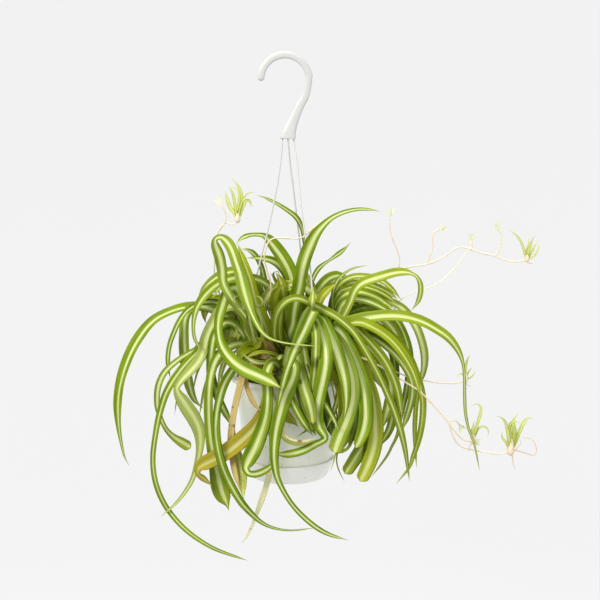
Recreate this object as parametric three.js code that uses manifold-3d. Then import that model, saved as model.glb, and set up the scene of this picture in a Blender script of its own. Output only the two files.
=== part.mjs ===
// A spider plant in a white plastic hanging pot: a hook, three hanger wires, the pot and its saucer,
// the soil, four crowns of long arching leaves, a few dry leaves, and runners that carry plantlets.
// Millimetres, +Z up. The origin is the inner top of the hook, where it hangs on its bar.
import * as THREE from 'three';
import { mergeVertices } from 'three/addons/utils/BufferGeometryUtils.js';
import Module from 'manifold-3d';

const wasm = await Module();
wasm.setup();

// Driving dimensions of the holder
const GAP = 0.3;
const HOOK_INNER_RADIUS = 26;
const HOOK_BAND = 9;
const HOOK_DEPTH = 6;
const HOOK_SIDES = 8;
const BLOCK_Z = -101;
const BLOCK_X = 3.9;
const BLOCK_WIDTH = 20;
const BLOCK_DEPTH = 9;
const WIRE_RADIUS = 1.1;
const WIRE_SPACING = 7.2;
const WIRE_SOCKET = 8;
const POT_X = 3.4;
const RIM_Z = -409;
const RIM_RADIUS = 75.5;
const RIM_WIDTH = 6.5;
const RIM_THICKNESS = 4;
const WALL = 2;
const FOOT_EDGE = 3;
const FLOOR_EDGE = 2;
const HOLE_SIDES = 8;
const WIRE_HOLE_ROOM = 0.6;
const SAUCER_RIM_Z = -517.5;
const SAUCER_RIM_RADIUS = 61.5;
const SAUCER_WALL = 1.8;
const SAUCER_BASE_RADIUS = 52;
const SAUCER_EDGE = 2.5;
const SAUCER_ROOM = 0.5;
const BOTTOM_Z = -543;
const POT_FOOT_RADIUS = 49.4;
const SOIL_Z = -413;
const SOIL_EDGE = 3.2;
const SOIL_RISE = 1.5;
const SOIL_SHOULDER = 12;
const SOIL_HOLE_TOP = 9;
const POT_SIDES = 32;

// Driving dimensions of the plant
const CORE_TOP_Z = -388;
const CORE_BOTTOM_Z = -437;
const CORE_RADIUS = 11;
const STALK_DEPTH = 12;
const BLADE_THICKNESS = 1.5;
const BLADE_CHANNEL = 0.14;
const SAMPLE_STEP = 8;
const STATION_STEP = 40;
const STATION_BEND = 0.68;
const RELAX_ROUNDS = 160;

// The view in which the routes of leaves and stalks are chosen. A route point is a place across and
// down in a picture 600 units wide, seen from EYE and tipped down by VIEW_PITCH. A depth is the
// distance in millimetres behind (+) or before (-) the plane through the pot's axis.
const EYE = new THREE.Vector3(19.1, -1797.6, -24.7);
const VIEW_FOCAL = 1400;
const VIEW_CENTRE = 300;
const VIEW_PITCH = THREE.MathUtils.degToRad(9);

const UP = new THREE.Vector3(0, 0, 1);

function viewRay(across, down) {
  const a = (across - VIEW_CENTRE) / VIEW_FOCAL;
  const b = (down - VIEW_CENTRE) / VIEW_FOCAL;
  const y = Math.cos(VIEW_PITCH) - b * Math.sin(VIEW_PITCH);
  const z = -Math.sin(VIEW_PITCH) - b * Math.cos(VIEW_PITCH);
  return new THREE.Vector3(a, y, z);
}

function fromView(across, down, depth) {
  const ray = viewRay(across, down);
  return ray.multiplyScalar((depth - EYE.y) / ray.y).add(EYE);
}

function toView(point) {
  const d = point.clone().sub(EYE);
  const forward = d.y * Math.cos(VIEW_PITCH) - d.z * Math.sin(VIEW_PITCH);
  const rise = d.y * Math.sin(VIEW_PITCH) + d.z * Math.cos(VIEW_PITCH);
  return [VIEW_CENTRE + VIEW_FOCAL * d.x / forward, VIEW_CENTRE - VIEW_FOCAL * rise / forward];
}

// A leaf's depths are spread evenly over its points, and each point is [across, down, width seen].
function leaf(name, depths, ...points) {
  return { name, depths, points };
}

const LEFT_LEAVES = [
  leaf('far_left_arch', [16, 4, -6, -10], [243, 324, 9], [217, 309, 9.5], [190, 306, 8.5],
    [170, 311, 7.5], [152, 321, 8.5], [138, 338, 9.5], [127, 359, 9.5], [120, 382, 8.5],
    [117.3, 405, 7.5], [119, 430, 4], [124, 455, 2], [129.5, 466, 1]),
  leaf('left_hairpin', [-20, -36, -46], [246, 322, 6], [222, 304, 6], [204, 302, 6], [190, 308, 5],
    [181, 318, 5], [174.5, 331, 5], [169.5, 345, 4.8], [167.8, 358, 4.4], [168.3, 368, 3.2],
    [170.5, 379, 1]),
  leaf('left_upright', [-12, -24, -26], [244, 328, 9], [222, 313, 9], [203, 306, 9],
    [191, 307.5, 8.5], [185, 318, 8.5], [184, 332, 9], [184, 347, 9.5], [185.5, 365, 9.5],
    [189, 385, 8.5], [194.5, 400, 5], [203.5, 408.5, 1.2]),
  leaf('left_loop_behind', [10, 0, -6], [262, 310, 9], [256, 288, 9], [247, 276, 9],
    [234, 271, 9], [222, 274, 8], [211, 281, 7], [203, 290, 5], [197, 301, 2]),
  leaf('left_sweep', [-22, -50, -78, -90, -92], [246, 322, 11], [243, 300, 11], [236, 288, 10.5],
    [227.5, 292, 10], [222.5, 305, 10], [219, 318, 9], [218.5, 332, 8], [222, 346, 9.5],
    [231, 359, 10], [243, 367.5, 10.5], [257, 373, 10.5], [270, 379, 9.5], [281, 386, 7]),
  leaf('left_inner_drop', [-30, -54, -76, -84], [240, 330, 9], [226, 322, 9], [215, 334, 8.5],
    [211.3, 351, 8], [210.5, 366, 8], [212, 380, 8.5], [216, 393, 8], [222, 406, 7],
    [228, 418, 6], [231, 426, 4]),
  leaf('pale_drop', [-28, -46, -56, -62, -66, -68], [247, 325, 9], [236, 307, 9.5],
    [222, 309, 10], [212, 325, 10.5], [206, 338, 10.5], [203, 350, 10], [198, 361, 10],
    [189, 371.5, 9.5], [180.5, 381, 7], [176.5, 389.5, 5.5], [180, 398, 9], [187, 408, 12],
    [194, 418, 11], [199, 430, 9], [200, 443, 6.5], [198, 456, 5], [192, 480, 4.2],
    [178, 501, 3], [161, 516.5, 1]),
  leaf('long_left_tail', [-24, -50, -70, -84, -92], [246, 336, 7], [228, 326, 7], [213, 335, 7],
    [203, 346, 6.5], [183, 367, 7.5], [168, 389, 7], [160.3, 411, 6], [155.5, 434, 5.3],
    [152.8, 460, 5], [156, 484, 5.2], [166.5, 507.5, 5], [186, 530, 4.6], [212, 547.5, 3.6],
    [240, 558, 2], [248, 560.5, 1]),
  leaf('left_hook', [-18, -40, -50, -58], [248, 338, 6], [230, 334, 6], [213, 341, 5.5],
    [200, 347.5, 5], [187, 354, 5], [174, 363, 5.5], [164, 373, 6.2], [158.5, 385, 6.2],
    [157, 397, 5.8], [157.7, 408, 5.2], [161, 419, 4.5], [166, 429, 4.5], [173, 436.5, 5.5],
    [182, 443, 7], [191, 448.5, 7.5]),
  leaf('wide_left_drop', [-36, -66, -86, -92], [248, 345, 9], [232, 345, 9], [218, 356, 9],
    [211.5, 372, 8.5], [209, 388, 8], [208.3, 402, 8.5], [208.5, 417, 8.5], [209.5, 432, 8.5],
    [211.5, 447, 9], [214.5, 461, 10], [217.5, 474, 12.5], [220, 486, 14], [221.5, 496, 13]),
  leaf('front_left_long', [-44, -76, -100, -112, -118, -120], [250, 349, 8], [240, 360, 8],
    [228, 376.5, 8.5], [222.5, 388, 8.5], [219.3, 400, 8], [217, 412, 7.5], [216, 425, 8],
    [216.5, 438, 8.3], [219, 453, 8.3], [223, 467, 8.3], [229, 481, 8], [237, 495.5, 7.5],
    [246, 508, 6.5], [264, 524, 3.5], [287, 530.3, 1.8], [315, 528, 1]),
  leaf('tall_fold', [-26, -48, -60, -74, -88, -96], [250, 325, 8], [233, 301, 8], [222.5, 284, 8],
    [221.5, 270, 8], [223.5, 258, 8], [219.5, 247, 7], [216.8, 240.5, 4.5], [221, 237, 5],
    [227, 241.5, 9.5], [232, 250, 10], [236, 261, 10.5], [240, 273, 11], [243.5, 287, 12.5],
    [247, 299, 11.5], [251, 311, 7.5], [255.5, 321, 5.5], [260.5, 330, 4.5], [267.5, 337, 2.8],
    [277, 341, 2.2], [291, 343.8, 1.8], [320, 346.6, 1]),
  leaf('inner_pale', [-4, -16, -20], [254, 332, 9], [243, 319, 10], [236, 330, 12],
    [231, 341, 11], [227, 352, 8], [224, 362, 4]),
  leaf('inner_olive', [4, -6, -10], [246, 326, 8], [226, 303, 8], [211, 299, 8], [205.5, 308, 8],
    [204.5, 318, 5], [206.5, 324, 1.5]),
  leaf('left_thin_tip', [-30, -34], [240, 312, 3.5], [222, 287, 3.5], [216, 293.5, 3],
    [211, 299.5, 1]),
  leaf('curl_left', [-40, -60, -62], [252, 330, 2], [247, 309.5, 2], [242, 308.5, 2],
    [237, 305.5, 2], [233.8, 301, 2], [235, 296.5, 2], [240, 295.5, 1.4]),
  leaf('curl_right', [-40, -62, -64], [262, 325, 2], [256.5, 307.5, 2], [260.5, 306, 2],
    [262.7, 301.5, 2], [260, 297.3, 2], [253, 295.5, 1.4]),
];

const CENTRE_LEAVES = [
  leaf('high_right_arch', [6, -22, -46, -56, -60], [288, 338, 10], [291.8, 325, 10],
    [293, 312, 10], [295, 299, 11], [298, 286, 11.5], [300, 273, 11], [303.5, 259, 11],
    [308.5, 246, 10.5], [314.5, 234.5, 8.5], [322.5, 225.3, 6.5], [331.5, 218, 5],
    [341.5, 213, 4.2], [352, 210, 3.6], [363, 209, 3], [373, 210, 2], [381, 211.7, 1]),
  leaf('left_loop', [14, -6, -27, -45, -52], [284, 320, 8], [279, 299, 8], [270, 286.5, 8],
    [260, 280, 7.5], [250, 277.5, 8], [241, 277, 9], [231, 278.3, 9.5], [219, 283, 9.5],
    [209, 290.5, 9], [201, 300, 8], [195.5, 311, 6], [193.3, 325, 3.5], [194.3, 337, 3.2],
    [198.5, 346, 2.6], [205, 350.5, 1.5]),
  leaf('upper_left_arch', [22, 24, 22, 18, 12], [290, 325, 9], [294, 300, 10], [293, 284, 11],
    [289, 270, 11.5], [282, 257, 11.5], [275, 247, 11], [269.5, 240, 9], [264, 235.5, 5],
    [254, 234.5, 3.5], [246, 236, 4.5], [240, 239.5, 3.8], [236, 244.5, 1.5]),
  leaf('olive_riser', [4, -14, -14, -8, 0], [271, 341, 10], [267, 329, 12], [262, 317, 12],
    [257.5, 306, 11], [254.3, 294, 9], [251.5, 282, 7.5], [248, 272, 7], [244.3, 262, 6],
    [240.5, 252, 5], [238, 244, 3]),
  leaf('upper_left_low', [30, 34, 30, 24], [289, 318, 8], [293, 297, 8], [290, 281, 8],
    [284, 269, 8], [276.5, 262, 7], [268, 258.5, 4.5], [257, 257.7, 3.2], [246, 258, 2]),
  leaf('small_back_arch', [34, 30, 26], [276, 320, 5], [268, 294, 5], [262.5, 270, 5],
    [257.5, 258, 5], [252, 252, 5], [246, 249.3, 4], [241.5, 249, 2]),
  leaf('pale_low_arch', [10, -6, -16, -18], [270, 336, 8], [263, 322, 8.5], [262.5, 309, 9],
    [265.5, 298, 9], [272, 289.5, 9], [281, 284.8, 8.5], [292, 283.3, 8], [303, 284.5, 8],
    [311, 289.5, 7], [317, 298, 5], [320.5, 308, 2]),
  leaf('centre_arch', [-30, -62, -76, -88, -98, -104], [276, 342, 6.5], [274.3, 330, 6.5],
    [276, 316, 7], [281.5, 305.5, 7.5], [289.5, 299.3, 7], [299, 298, 7], [311, 303, 7],
    [323, 309, 7.5], [335, 315.5, 7.5], [346, 324, 7.5], [356, 335, 6.5], [371, 360, 6],
    [385, 388.5, 6.5], [396.5, 417, 7], [404.5, 446, 5], [409.5, 481, 1.5]),
  leaf('left_flyer', [26, 30, 26, 20], [296, 320, 5], [300, 296, 5], [305, 272, 5],
    [306.5, 255, 5], [304.5, 240, 4.5], [302, 228, 4.5], [296.5, 217.5, 5], [287, 210, 4],
    [275, 202.5, 3], [265, 197.8, 2], [256.5, 195, 1]),
  leaf('right_flyer', [22, 16, 8], [303, 318, 4], [308, 292, 4], [314.5, 275, 4.5],
    [320, 267, 4.5], [329, 260.5, 2.5], [338, 254, 4.5], [345, 248.5, 3], [351, 242, 1]),
  leaf('thin_back_tip', [26, 22], [272, 318, 3], [264, 298, 3], [260.7, 278, 2.5],
    [261, 264, 1]),
  leaf('short_back_tip', [20, 16], [285, 318, 4], [281, 291, 4], [275, 280, 4],
    [270.5, 272.5, 1.5]),
  leaf('right_stub', [14, 2, -2], [306, 328, 7], [310, 306, 7], [315, 291, 7], [321, 281.5, 7],
    [328, 275.3, 6.5], [334, 273.8, 5], [339, 275.5, 2]),
  leaf('inner_dark', [8, -10], [281, 342, 6], [279.5, 330, 6], [280.5, 317, 6], [284, 306, 3]),
];

const RIGHT_LEAVES = [
  leaf('right_curl', [-20, -40, -50, -52], [331, 335, 8], [343, 316, 8], [350, 302, 8],
    [354.5, 291, 8], [361, 283.5, 8.5], [371, 279.2, 9], [383, 275.5, 9], [395, 272.2, 8.5],
    [405, 271.7, 7], [412.5, 273.8, 3.5], [417.5, 277.5, 3.5], [420.3, 284, 5],
    [420.5, 292, 5], [418.5, 300, 4.5], [415, 306, 3], [410.5, 311, 1]),
  leaf('right_sweep', [-34, -58, -66, -68, -66], [330, 338, 10], [343, 325, 11], [355, 320, 11],
    [368, 317.3, 11], [383, 315.5, 10.5], [398, 315.3, 10.5], [412, 317.7, 10],
    [425, 322.3, 9.5], [437, 329, 9], [447, 336, 8], [454.5, 344.5, 6.5], [460, 354, 4.8],
    [463.3, 365, 2.8], [464.5, 380, 2.8], [464.7, 397, 3.2], [465.5, 413, 3],
    [469, 430, 2.4], [474.5, 445, 1.9], [479.7, 471, 1]),
  leaf('fan_a', [-2, -8, -8], [328, 330, 5.5], [332, 300, 5.5], [340, 284, 5.5],
    [350, 277.3, 5.5], [361, 275.7, 5.5], [372, 277.2, 5.5], [382, 281, 5],
    [390.5, 287.5, 4.5], [397, 294.5, 3], [401.5, 300.5, 1]),
  leaf('fan_b', [2, -3, -4], [329, 328, 4.5], [335, 299, 4.5], [347, 284, 4.5],
    [361, 282, 5], [374, 285.5, 6], [385, 290.5, 6], [393, 295.5, 5], [398, 299.5, 2]),
  leaf('fan_c', [-6, -12, -14], [331, 332, 5], [333, 306, 5], [339, 292, 5],
    [349, 287.3, 5], [360.5, 286, 5], [372, 288.5, 5], [383, 293.3, 5], [391.5, 299, 4],
    [397.5, 304.5, 1.5]),
  leaf('fan_d', [-10, -18, -20], [332, 334, 7], [334, 312, 7], [340, 298, 7], [349, 292.3, 7],
    [359, 291.3, 7], [369, 293.5, 7], [379, 298, 6.5], [388, 304.5, 5], [395, 309.5, 2]),
  leaf('fan_e', [-16, -26, -28], [333, 336, 8], [337, 316, 8], [342, 304, 8], [350, 299.3, 8],
    [359, 298.5, 8], [369, 301, 7.5], [379, 305.5, 6.5], [388, 310.5, 4], [394, 314, 1.5]),
  leaf('fan_f', [-8, -12], [335, 330, 4], [339, 316, 4], [344, 307, 4], [352, 304.5, 4],
    [360, 306.5, 3.5], [367.5, 310, 1.5]),
  leaf('thin_right_riser', [-12, -20, -24], [326, 332, 4], [332.5, 314, 3.8], [332.5, 300, 3.8],
    [334, 288, 3.8], [339, 278, 3.2], [346.5, 272, 2.2], [354, 268, 1.8], [367.5, 265.4, 1]),
  leaf('bright_riser', [-14, -10], [320, 328, 5], [318, 309, 5], [322, 297, 5.5],
    [329, 288, 5.5], [337, 281, 4], [340.5, 278, 2]),
  leaf('drop_a', [-16, -34, -44, -46], [334, 330, 7], [350, 313, 7], [370, 306.5, 7],
    [386, 309.5, 7], [397.5, 321, 6.8], [404, 333, 6.8], [408, 345, 6.8], [410, 357, 6.5],
    [409.5, 369, 6.5], [408, 381, 6.3], [406, 393, 6], [403.5, 405, 5], [400.5, 425, 1.5]),
  leaf('drop_b', [-4, -16, -20], [338, 325, 7], [358, 304, 7], [380, 299, 7], [400, 306, 7],
    [411, 318, 7.5], [418, 330, 7.8], [422.3, 343, 7.8], [424.5, 355, 7.5], [424.3, 366, 6.5],
    [422, 377, 4.5], [418, 388, 1.5]),
  leaf('drop_c', [-26, -46, -58, -68, -72], [334, 335, 7], [352, 325, 7], [374, 327, 7],
    [394, 339, 7], [408, 356, 7], [415, 370, 6.5], [420, 384, 6.5], [422.7, 398, 6.3],
    [423, 411, 6.3], [421.8, 424, 6], [419.3, 437, 5.6], [415.8, 449, 5], [412, 459.5, 4],
    [409, 468, 2.5], [396, 484, 1]),
  leaf('drop_d', [-14, -28, -34], [336, 330, 5], [356, 319, 5], [380, 326, 5], [402, 345, 5],
    [415, 368, 5], [418, 381, 4.6], [417.5, 394, 4.6], [416, 407, 4.6], [415, 421, 4.6],
    [414.8, 435, 4], [415.2, 448, 3], [416.7, 468, 1]),
  leaf('drop_e', [-30, -56, -66], [332, 338, 7], [350, 332, 7], [372, 337, 7], [393, 352, 7],
    [407, 370, 7], [412.5, 384, 7], [412.3, 396, 7], [409.5, 408, 6.5], [406, 419, 6],
    [402, 431, 3]),
  leaf('drop_f', [-18, -38, -42], [331, 334, 8], [346, 322, 8], [362, 322, 8], [373, 328.5, 8],
    [383, 336, 8], [389.5, 345, 8], [393.5, 355.5, 8], [395.3, 367, 7.5], [395.5, 379, 7],
    [393.5, 400, 2]),
  leaf('drop_g', [-38, -60, -72, -76], [331, 336, 8], [345, 325, 8.5], [359, 321.5, 9],
    [371, 325.5, 9], [383, 332.5, 9], [393.5, 341.5, 9], [402, 352, 8.5], [409, 363.5, 8],
    [414.5, 375.5, 7], [421, 397, 2]),
  leaf('drop_h', [-30, -52, -62, -66], [329, 340, 8], [340, 329, 8], [352, 325.5, 8],
    [363, 334, 8.5], [374, 346, 8.5], [383, 357.5, 8.5], [390, 369.5, 8.5], [395.5, 382.5, 8],
    [399, 396, 6.5], [402, 418, 1.5]),
  leaf('drop_i', [-24, -40, -48], [331, 345, 8], [343, 335, 8], [356, 338, 8], [364, 349, 8.5],
    [368.5, 360, 8.5], [373.5, 371, 8], [379, 381.5, 6], [384, 391, 3]),
  leaf('drop_j', [-36, -60, -66], [338, 342, 8], [355, 340, 8], [374, 352, 8], [387, 372, 8],
    [391, 388, 8.5], [389, 403, 9.5], [386.3, 415, 8.5], [382.5, 428, 5]),
  leaf('drop_k', [-10, -36, -52], [336, 340, 4], [356, 345, 4], [378, 365, 4], [394, 392, 4],
    [400, 415, 4], [397.5, 434, 3.2], [391.5, 447, 2.6], [386, 457.5, 2.3], [371, 477.5, 1]),
  leaf('front_right_c', [-50, -78, -94, -98], [330, 330, 10], [340, 332, 11.5],
    [347.5, 345, 12], [353.5, 357, 12], [358.5, 369.5, 12], [362.7, 382, 12],
    [365.7, 394.5, 12], [367.2, 407, 12], [367, 419, 12], [364.5, 431, 11], [360, 441, 8],
    [356, 448, 4]),
  leaf('front_right_d', [-30, -60, -80, -84], [334, 342, 9], [349, 347, 10], [362, 368, 10],
    [369, 392, 10], [372, 413, 10], [370, 431, 10], [363.5, 446.5, 10.5], [356.5, 457.5, 10.5],
    [349.5, 467, 9.5], [344, 473, 8]),
  leaf('yellow_right', [-36, -70, -86, -92], [335, 340, 9], [350, 344, 10], [361, 361, 10.5],
    [368, 380, 10.5], [373, 397, 11], [376, 411, 11], [377, 424.5, 11.5], [376.3, 438, 11.5],
    [374, 451, 11.5], [370.3, 463, 11], [365.5, 474, 9.5], [362, 481.5, 7]),
];

const FRONT_LEAVES = [
  leaf('front_wide', [-44, -74, -104, -112, -110, -100, -92], [307, 338, 11], [306, 322, 12],
    [311, 315, 12.5], [317, 323, 13], [322, 335, 13.5], [325, 347, 13.5], [326, 359, 13.5],
    [324.5, 371, 13.5], [322, 383, 13], [319.3, 395, 12.5], [317.3, 407, 12],
    [317.3, 418, 11.5], [320, 429, 9], [326, 438, 5], [324, 441.5, 4], [316, 445, 5],
    [306, 450.5, 5.5], [295, 453.8, 5.5], [276.5, 452, 3]),
  leaf('front_right_a', [-30, -60, -84, -92, -94], [312, 340, 9], [313, 324, 10],
    [319, 317, 11], [325, 324.5, 12], [330.5, 335, 12], [335.5, 347, 12], [339.5, 359, 12],
    [343, 371, 11], [345.5, 383, 10], [346.3, 395, 8], [346, 407, 5], [344, 419, 2]),
  leaf('front_right_b', [-40, -74, -98, -106], [318, 344, 10], [326, 333, 11], [336, 339, 12],
    [344, 352, 12], [349, 364, 12], [352.3, 376.5, 12], [353.7, 389, 12], [353, 401, 12],
    [349.5, 412.5, 12], [344.5, 424, 12], [339.5, 435, 12], [335, 444.5, 11], [331, 452, 9]),
  leaf('front_cross', [-50, -84, -104, -108], [300, 334, 10], [307, 316, 10], [314, 309, 10.5],
    [310, 318, 11], [304, 331, 11], [298.5, 342, 10.5], [293.5, 353, 9], [289.3, 364, 7],
    [285.5, 375, 6], [282.5, 386, 5.5], [280, 396, 4.5], [278, 406, 2]),
  leaf('front_pale', [-60, -84, -92], [291, 346, 9], [294.5, 351, 10], [297.5, 362, 11],
    [300.7, 375, 11.5], [304.5, 388, 11.5], [308.5, 401, 11], [311.5, 413, 10], [313, 424, 7]),
  leaf('front_inner', [-54, -80, -84], [299, 347, 7], [303, 346, 7], [305.5, 357, 7.5],
    [307.7, 370, 7.5], [311, 383, 7], [314, 395, 5], [317, 406, 2]),
  leaf('front_inner_thin', [-44, -74, -86], [314, 346, 5], [323, 345, 5], [330, 356, 5],
    [335, 370, 5], [338, 383, 5.2], [338, 395, 5], [335.3, 407, 4.8], [331, 418, 4.5],
    [326.5, 429, 3]),
  leaf('front_drop_long', [-56, -84, -102, -112, -118, -120], [291, 362, 9], [295, 366, 10],
    [294, 376, 11], [290, 386.5, 11.5], [285, 397.5, 11], [281, 408.5, 10], [277.8, 420, 9.5],
    [275.3, 432, 9], [274, 445, 8.5], [274, 457, 8], [275.5, 469, 7], [279, 482, 5.5],
    [291, 503, 4.6], [307, 520, 5], [326, 533, 4], [349, 540.5, 1]),
  leaf('front_folded', [-66, -98, -110, -110, -102], [274, 362, 9], [268, 368, 9.5],
    [267, 379, 9.5], [267.5, 391, 9.5], [267.3, 402, 9.8], [266.3, 414, 10.5],
    [263.5, 426, 11], [260.3, 437, 11.5], [255.5, 448, 11.5], [250, 458, 10.5],
    [246, 465.5, 7], [245.3, 470.5, 4.5], [249, 473.3, 5.5], [255.5, 473.5, 6],
    [263, 471, 6], [271, 465.5, 5], [277, 461, 3]),
  leaf('amber_fold', [-70, -98, -104, -104, -98], [272, 368, 8], [268.5, 378, 9], [268, 390, 10],
    [266, 404, 10], [261, 416, 11], [254, 425.5, 12], [245, 434.5, 12.5], [234, 444.5, 12.5],
    [222, 454, 13], [211, 460, 13], [203, 464.5, 11], [198, 468, 6.5], [197.5, 472, 5],
    [201.5, 476, 6], [206.5, 479.5, 6], [212, 484, 4]),
  leaf('front_thin_a', [-66, -82, -84], [306, 356, 4], [312, 372, 4], [319, 390, 4],
    [325, 403, 4], [330.5, 413, 4], [335, 422, 4], [338.5, 431, 1.5]),
  leaf('front_thin_b', [-70, -86, -84], [286.5, 372, 5], [288, 385, 5], [291.5, 399, 5],
    [297.5, 412, 5.5], [304, 423, 5], [312, 434, 2.5]),
];

const DRY_LEAVES = [
  leaf('tan_long', [-64, -84, -90, -92], [256, 366, 7], [248, 367, 7.5], [243, 374, 8],
    [240, 386, 8], [236.5, 400, 7.5], [233.5, 415, 7.5], [231.5, 430, 7.5], [231, 445, 7.5],
    [232.5, 460, 7], [235.5, 475, 6], [240, 491, 2]),
  leaf('tan_short', [-66, -80, -82], [257, 370, 4.5], [248, 374, 5], [246, 382, 5],
    [250, 396, 5.5], [256, 406, 5.5], [262, 412, 3]),
  leaf('bleached', [-70, -88, -92, -92], [263, 372, 5], [263, 386, 5], [266, 405, 5],
    [270, 430, 5], [272, 452, 5.5], [270, 470, 6], [266.5, 485, 6.5], [262, 499, 6.5],
    [256.5, 514, 4.5], [251, 528, 3.2], [246, 538, 2.6], [240.5, 544, 1]),
];

// A stalk stands in the soil at foot [x, y], and its points are [across, down] in the view.
function stalk(name, foot, radius, depths, ...points) {
  return { name, foot, radius, depths, points };
}

const STALKS = [
  stalk('runner_left', [-50, 20], 1.3, [20, 14, 4, -6, -10, -10], [240, 345], [230, 320],
    [221, 298], [214.5, 276], [214.5, 260], [213.8, 247], [215.5, 237], [220, 229],
    [225, 222.8], [231, 224.5], [234, 224.5], [237, 221]),
  stalk('runner_top', [-13, 9], 1.2, [8, -6, -16, -20, -20, -20], [272, 340], [271, 320],
    [270.8, 300], [270.6, 283], [267, 270], [264.3, 258], [266, 249], [268.5, 242],
    [274, 238.3], [285, 238], [299, 238.5], [306, 234.5], [312, 229.5]),
  stalk('bud_stem', [56, 14], 0.9, [16, 14, 12, 12], [333, 350], [352, 316], [376, 288],
    [396, 272], [399.5, 262], [398.5, 254], [395, 245], [391.5, 236], [390, 227], [389.6, 217]),
  stalk('runner_right_upper', [44, 32], 1.3, [30, 26, 22, 20, 20, 20], [326, 345], [340, 318],
    [360, 291], [385, 273.5], [409, 267], [423, 265], [437, 260.5], [449, 253.3],
    [457, 247.8], [464, 247.3], [471, 249.5], [482, 253], [495, 256], [505, 260],
    [515, 261.7], [522, 261], [527, 259.5]),
  stalk('runner_right_middle', [58, -24], 1.1, [-24, -36, -44, -46, -46, -46], [338, 362],
    [352, 356], [368, 358], [385, 366], [400, 373.5], [410, 377], [432, 382], [449, 383.3],
    [460, 382.3], [465.5, 380.5]),
  stalk('runner_right_lower', [46, -42], 1.2, [-42, -58, -66, -64, -60, -60], [330, 364],
    [345, 357], [362, 358], [378, 365], [390, 372.5], [402, 380], [411, 385.7], [418, 390],
    [426, 397.3], [437, 409.5], [443, 416], [448, 422.7], [451, 431], [453.5, 437.5],
    [456.5, 442.5], [460.5, 446], [466, 448.5], [479, 451], [495, 453.5], [504, 453.3], [510.5, 451]),
];

// A side branch is fused to the stalk it grows from.
const BRANCHES = [
  { on: 'runner_left', radius: 1, depth: -9.5, points: [[225, 223], [225.8, 216], [224, 210], [221, 205]] },
  { on: 'runner_top', radius: 1.4, depth: -20, points: [[309, 232], [312.5, 228.5], [317, 225.5]] },
  { on: 'runner_right_upper', radius: 1.1, depth: 20,
    points: [[427, 264], [429.5, 257], [432, 250], [433.3, 245], [432.4, 238], [434, 232.5],
      [439.5, 229.5]] },
  { on: 'runner_right_upper', radius: 1.4, depth: 20,
    points: [[471, 249.8], [471.6, 245], [471.5, 240.5]] },
  { on: 'runner_right_upper', radius: 1.1, depth: 20,
    points: [[494, 256], [498, 252.5], [500, 247], [501.2, 240], [501.3, 234], [499, 230.5]] },
  { on: 'runner_right_lower', radius: 1.1, depth: -60,
    points: [[447.5, 422], [453, 429], [459.5, 436.6], [465, 440.4], [473, 441.5]] },
  { on: 'runner_right_lower', radius: 0.9, depth: -60,
    points: [[447, 422], [452, 420.6], [456, 421], [459.5, 425]] },
];

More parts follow.
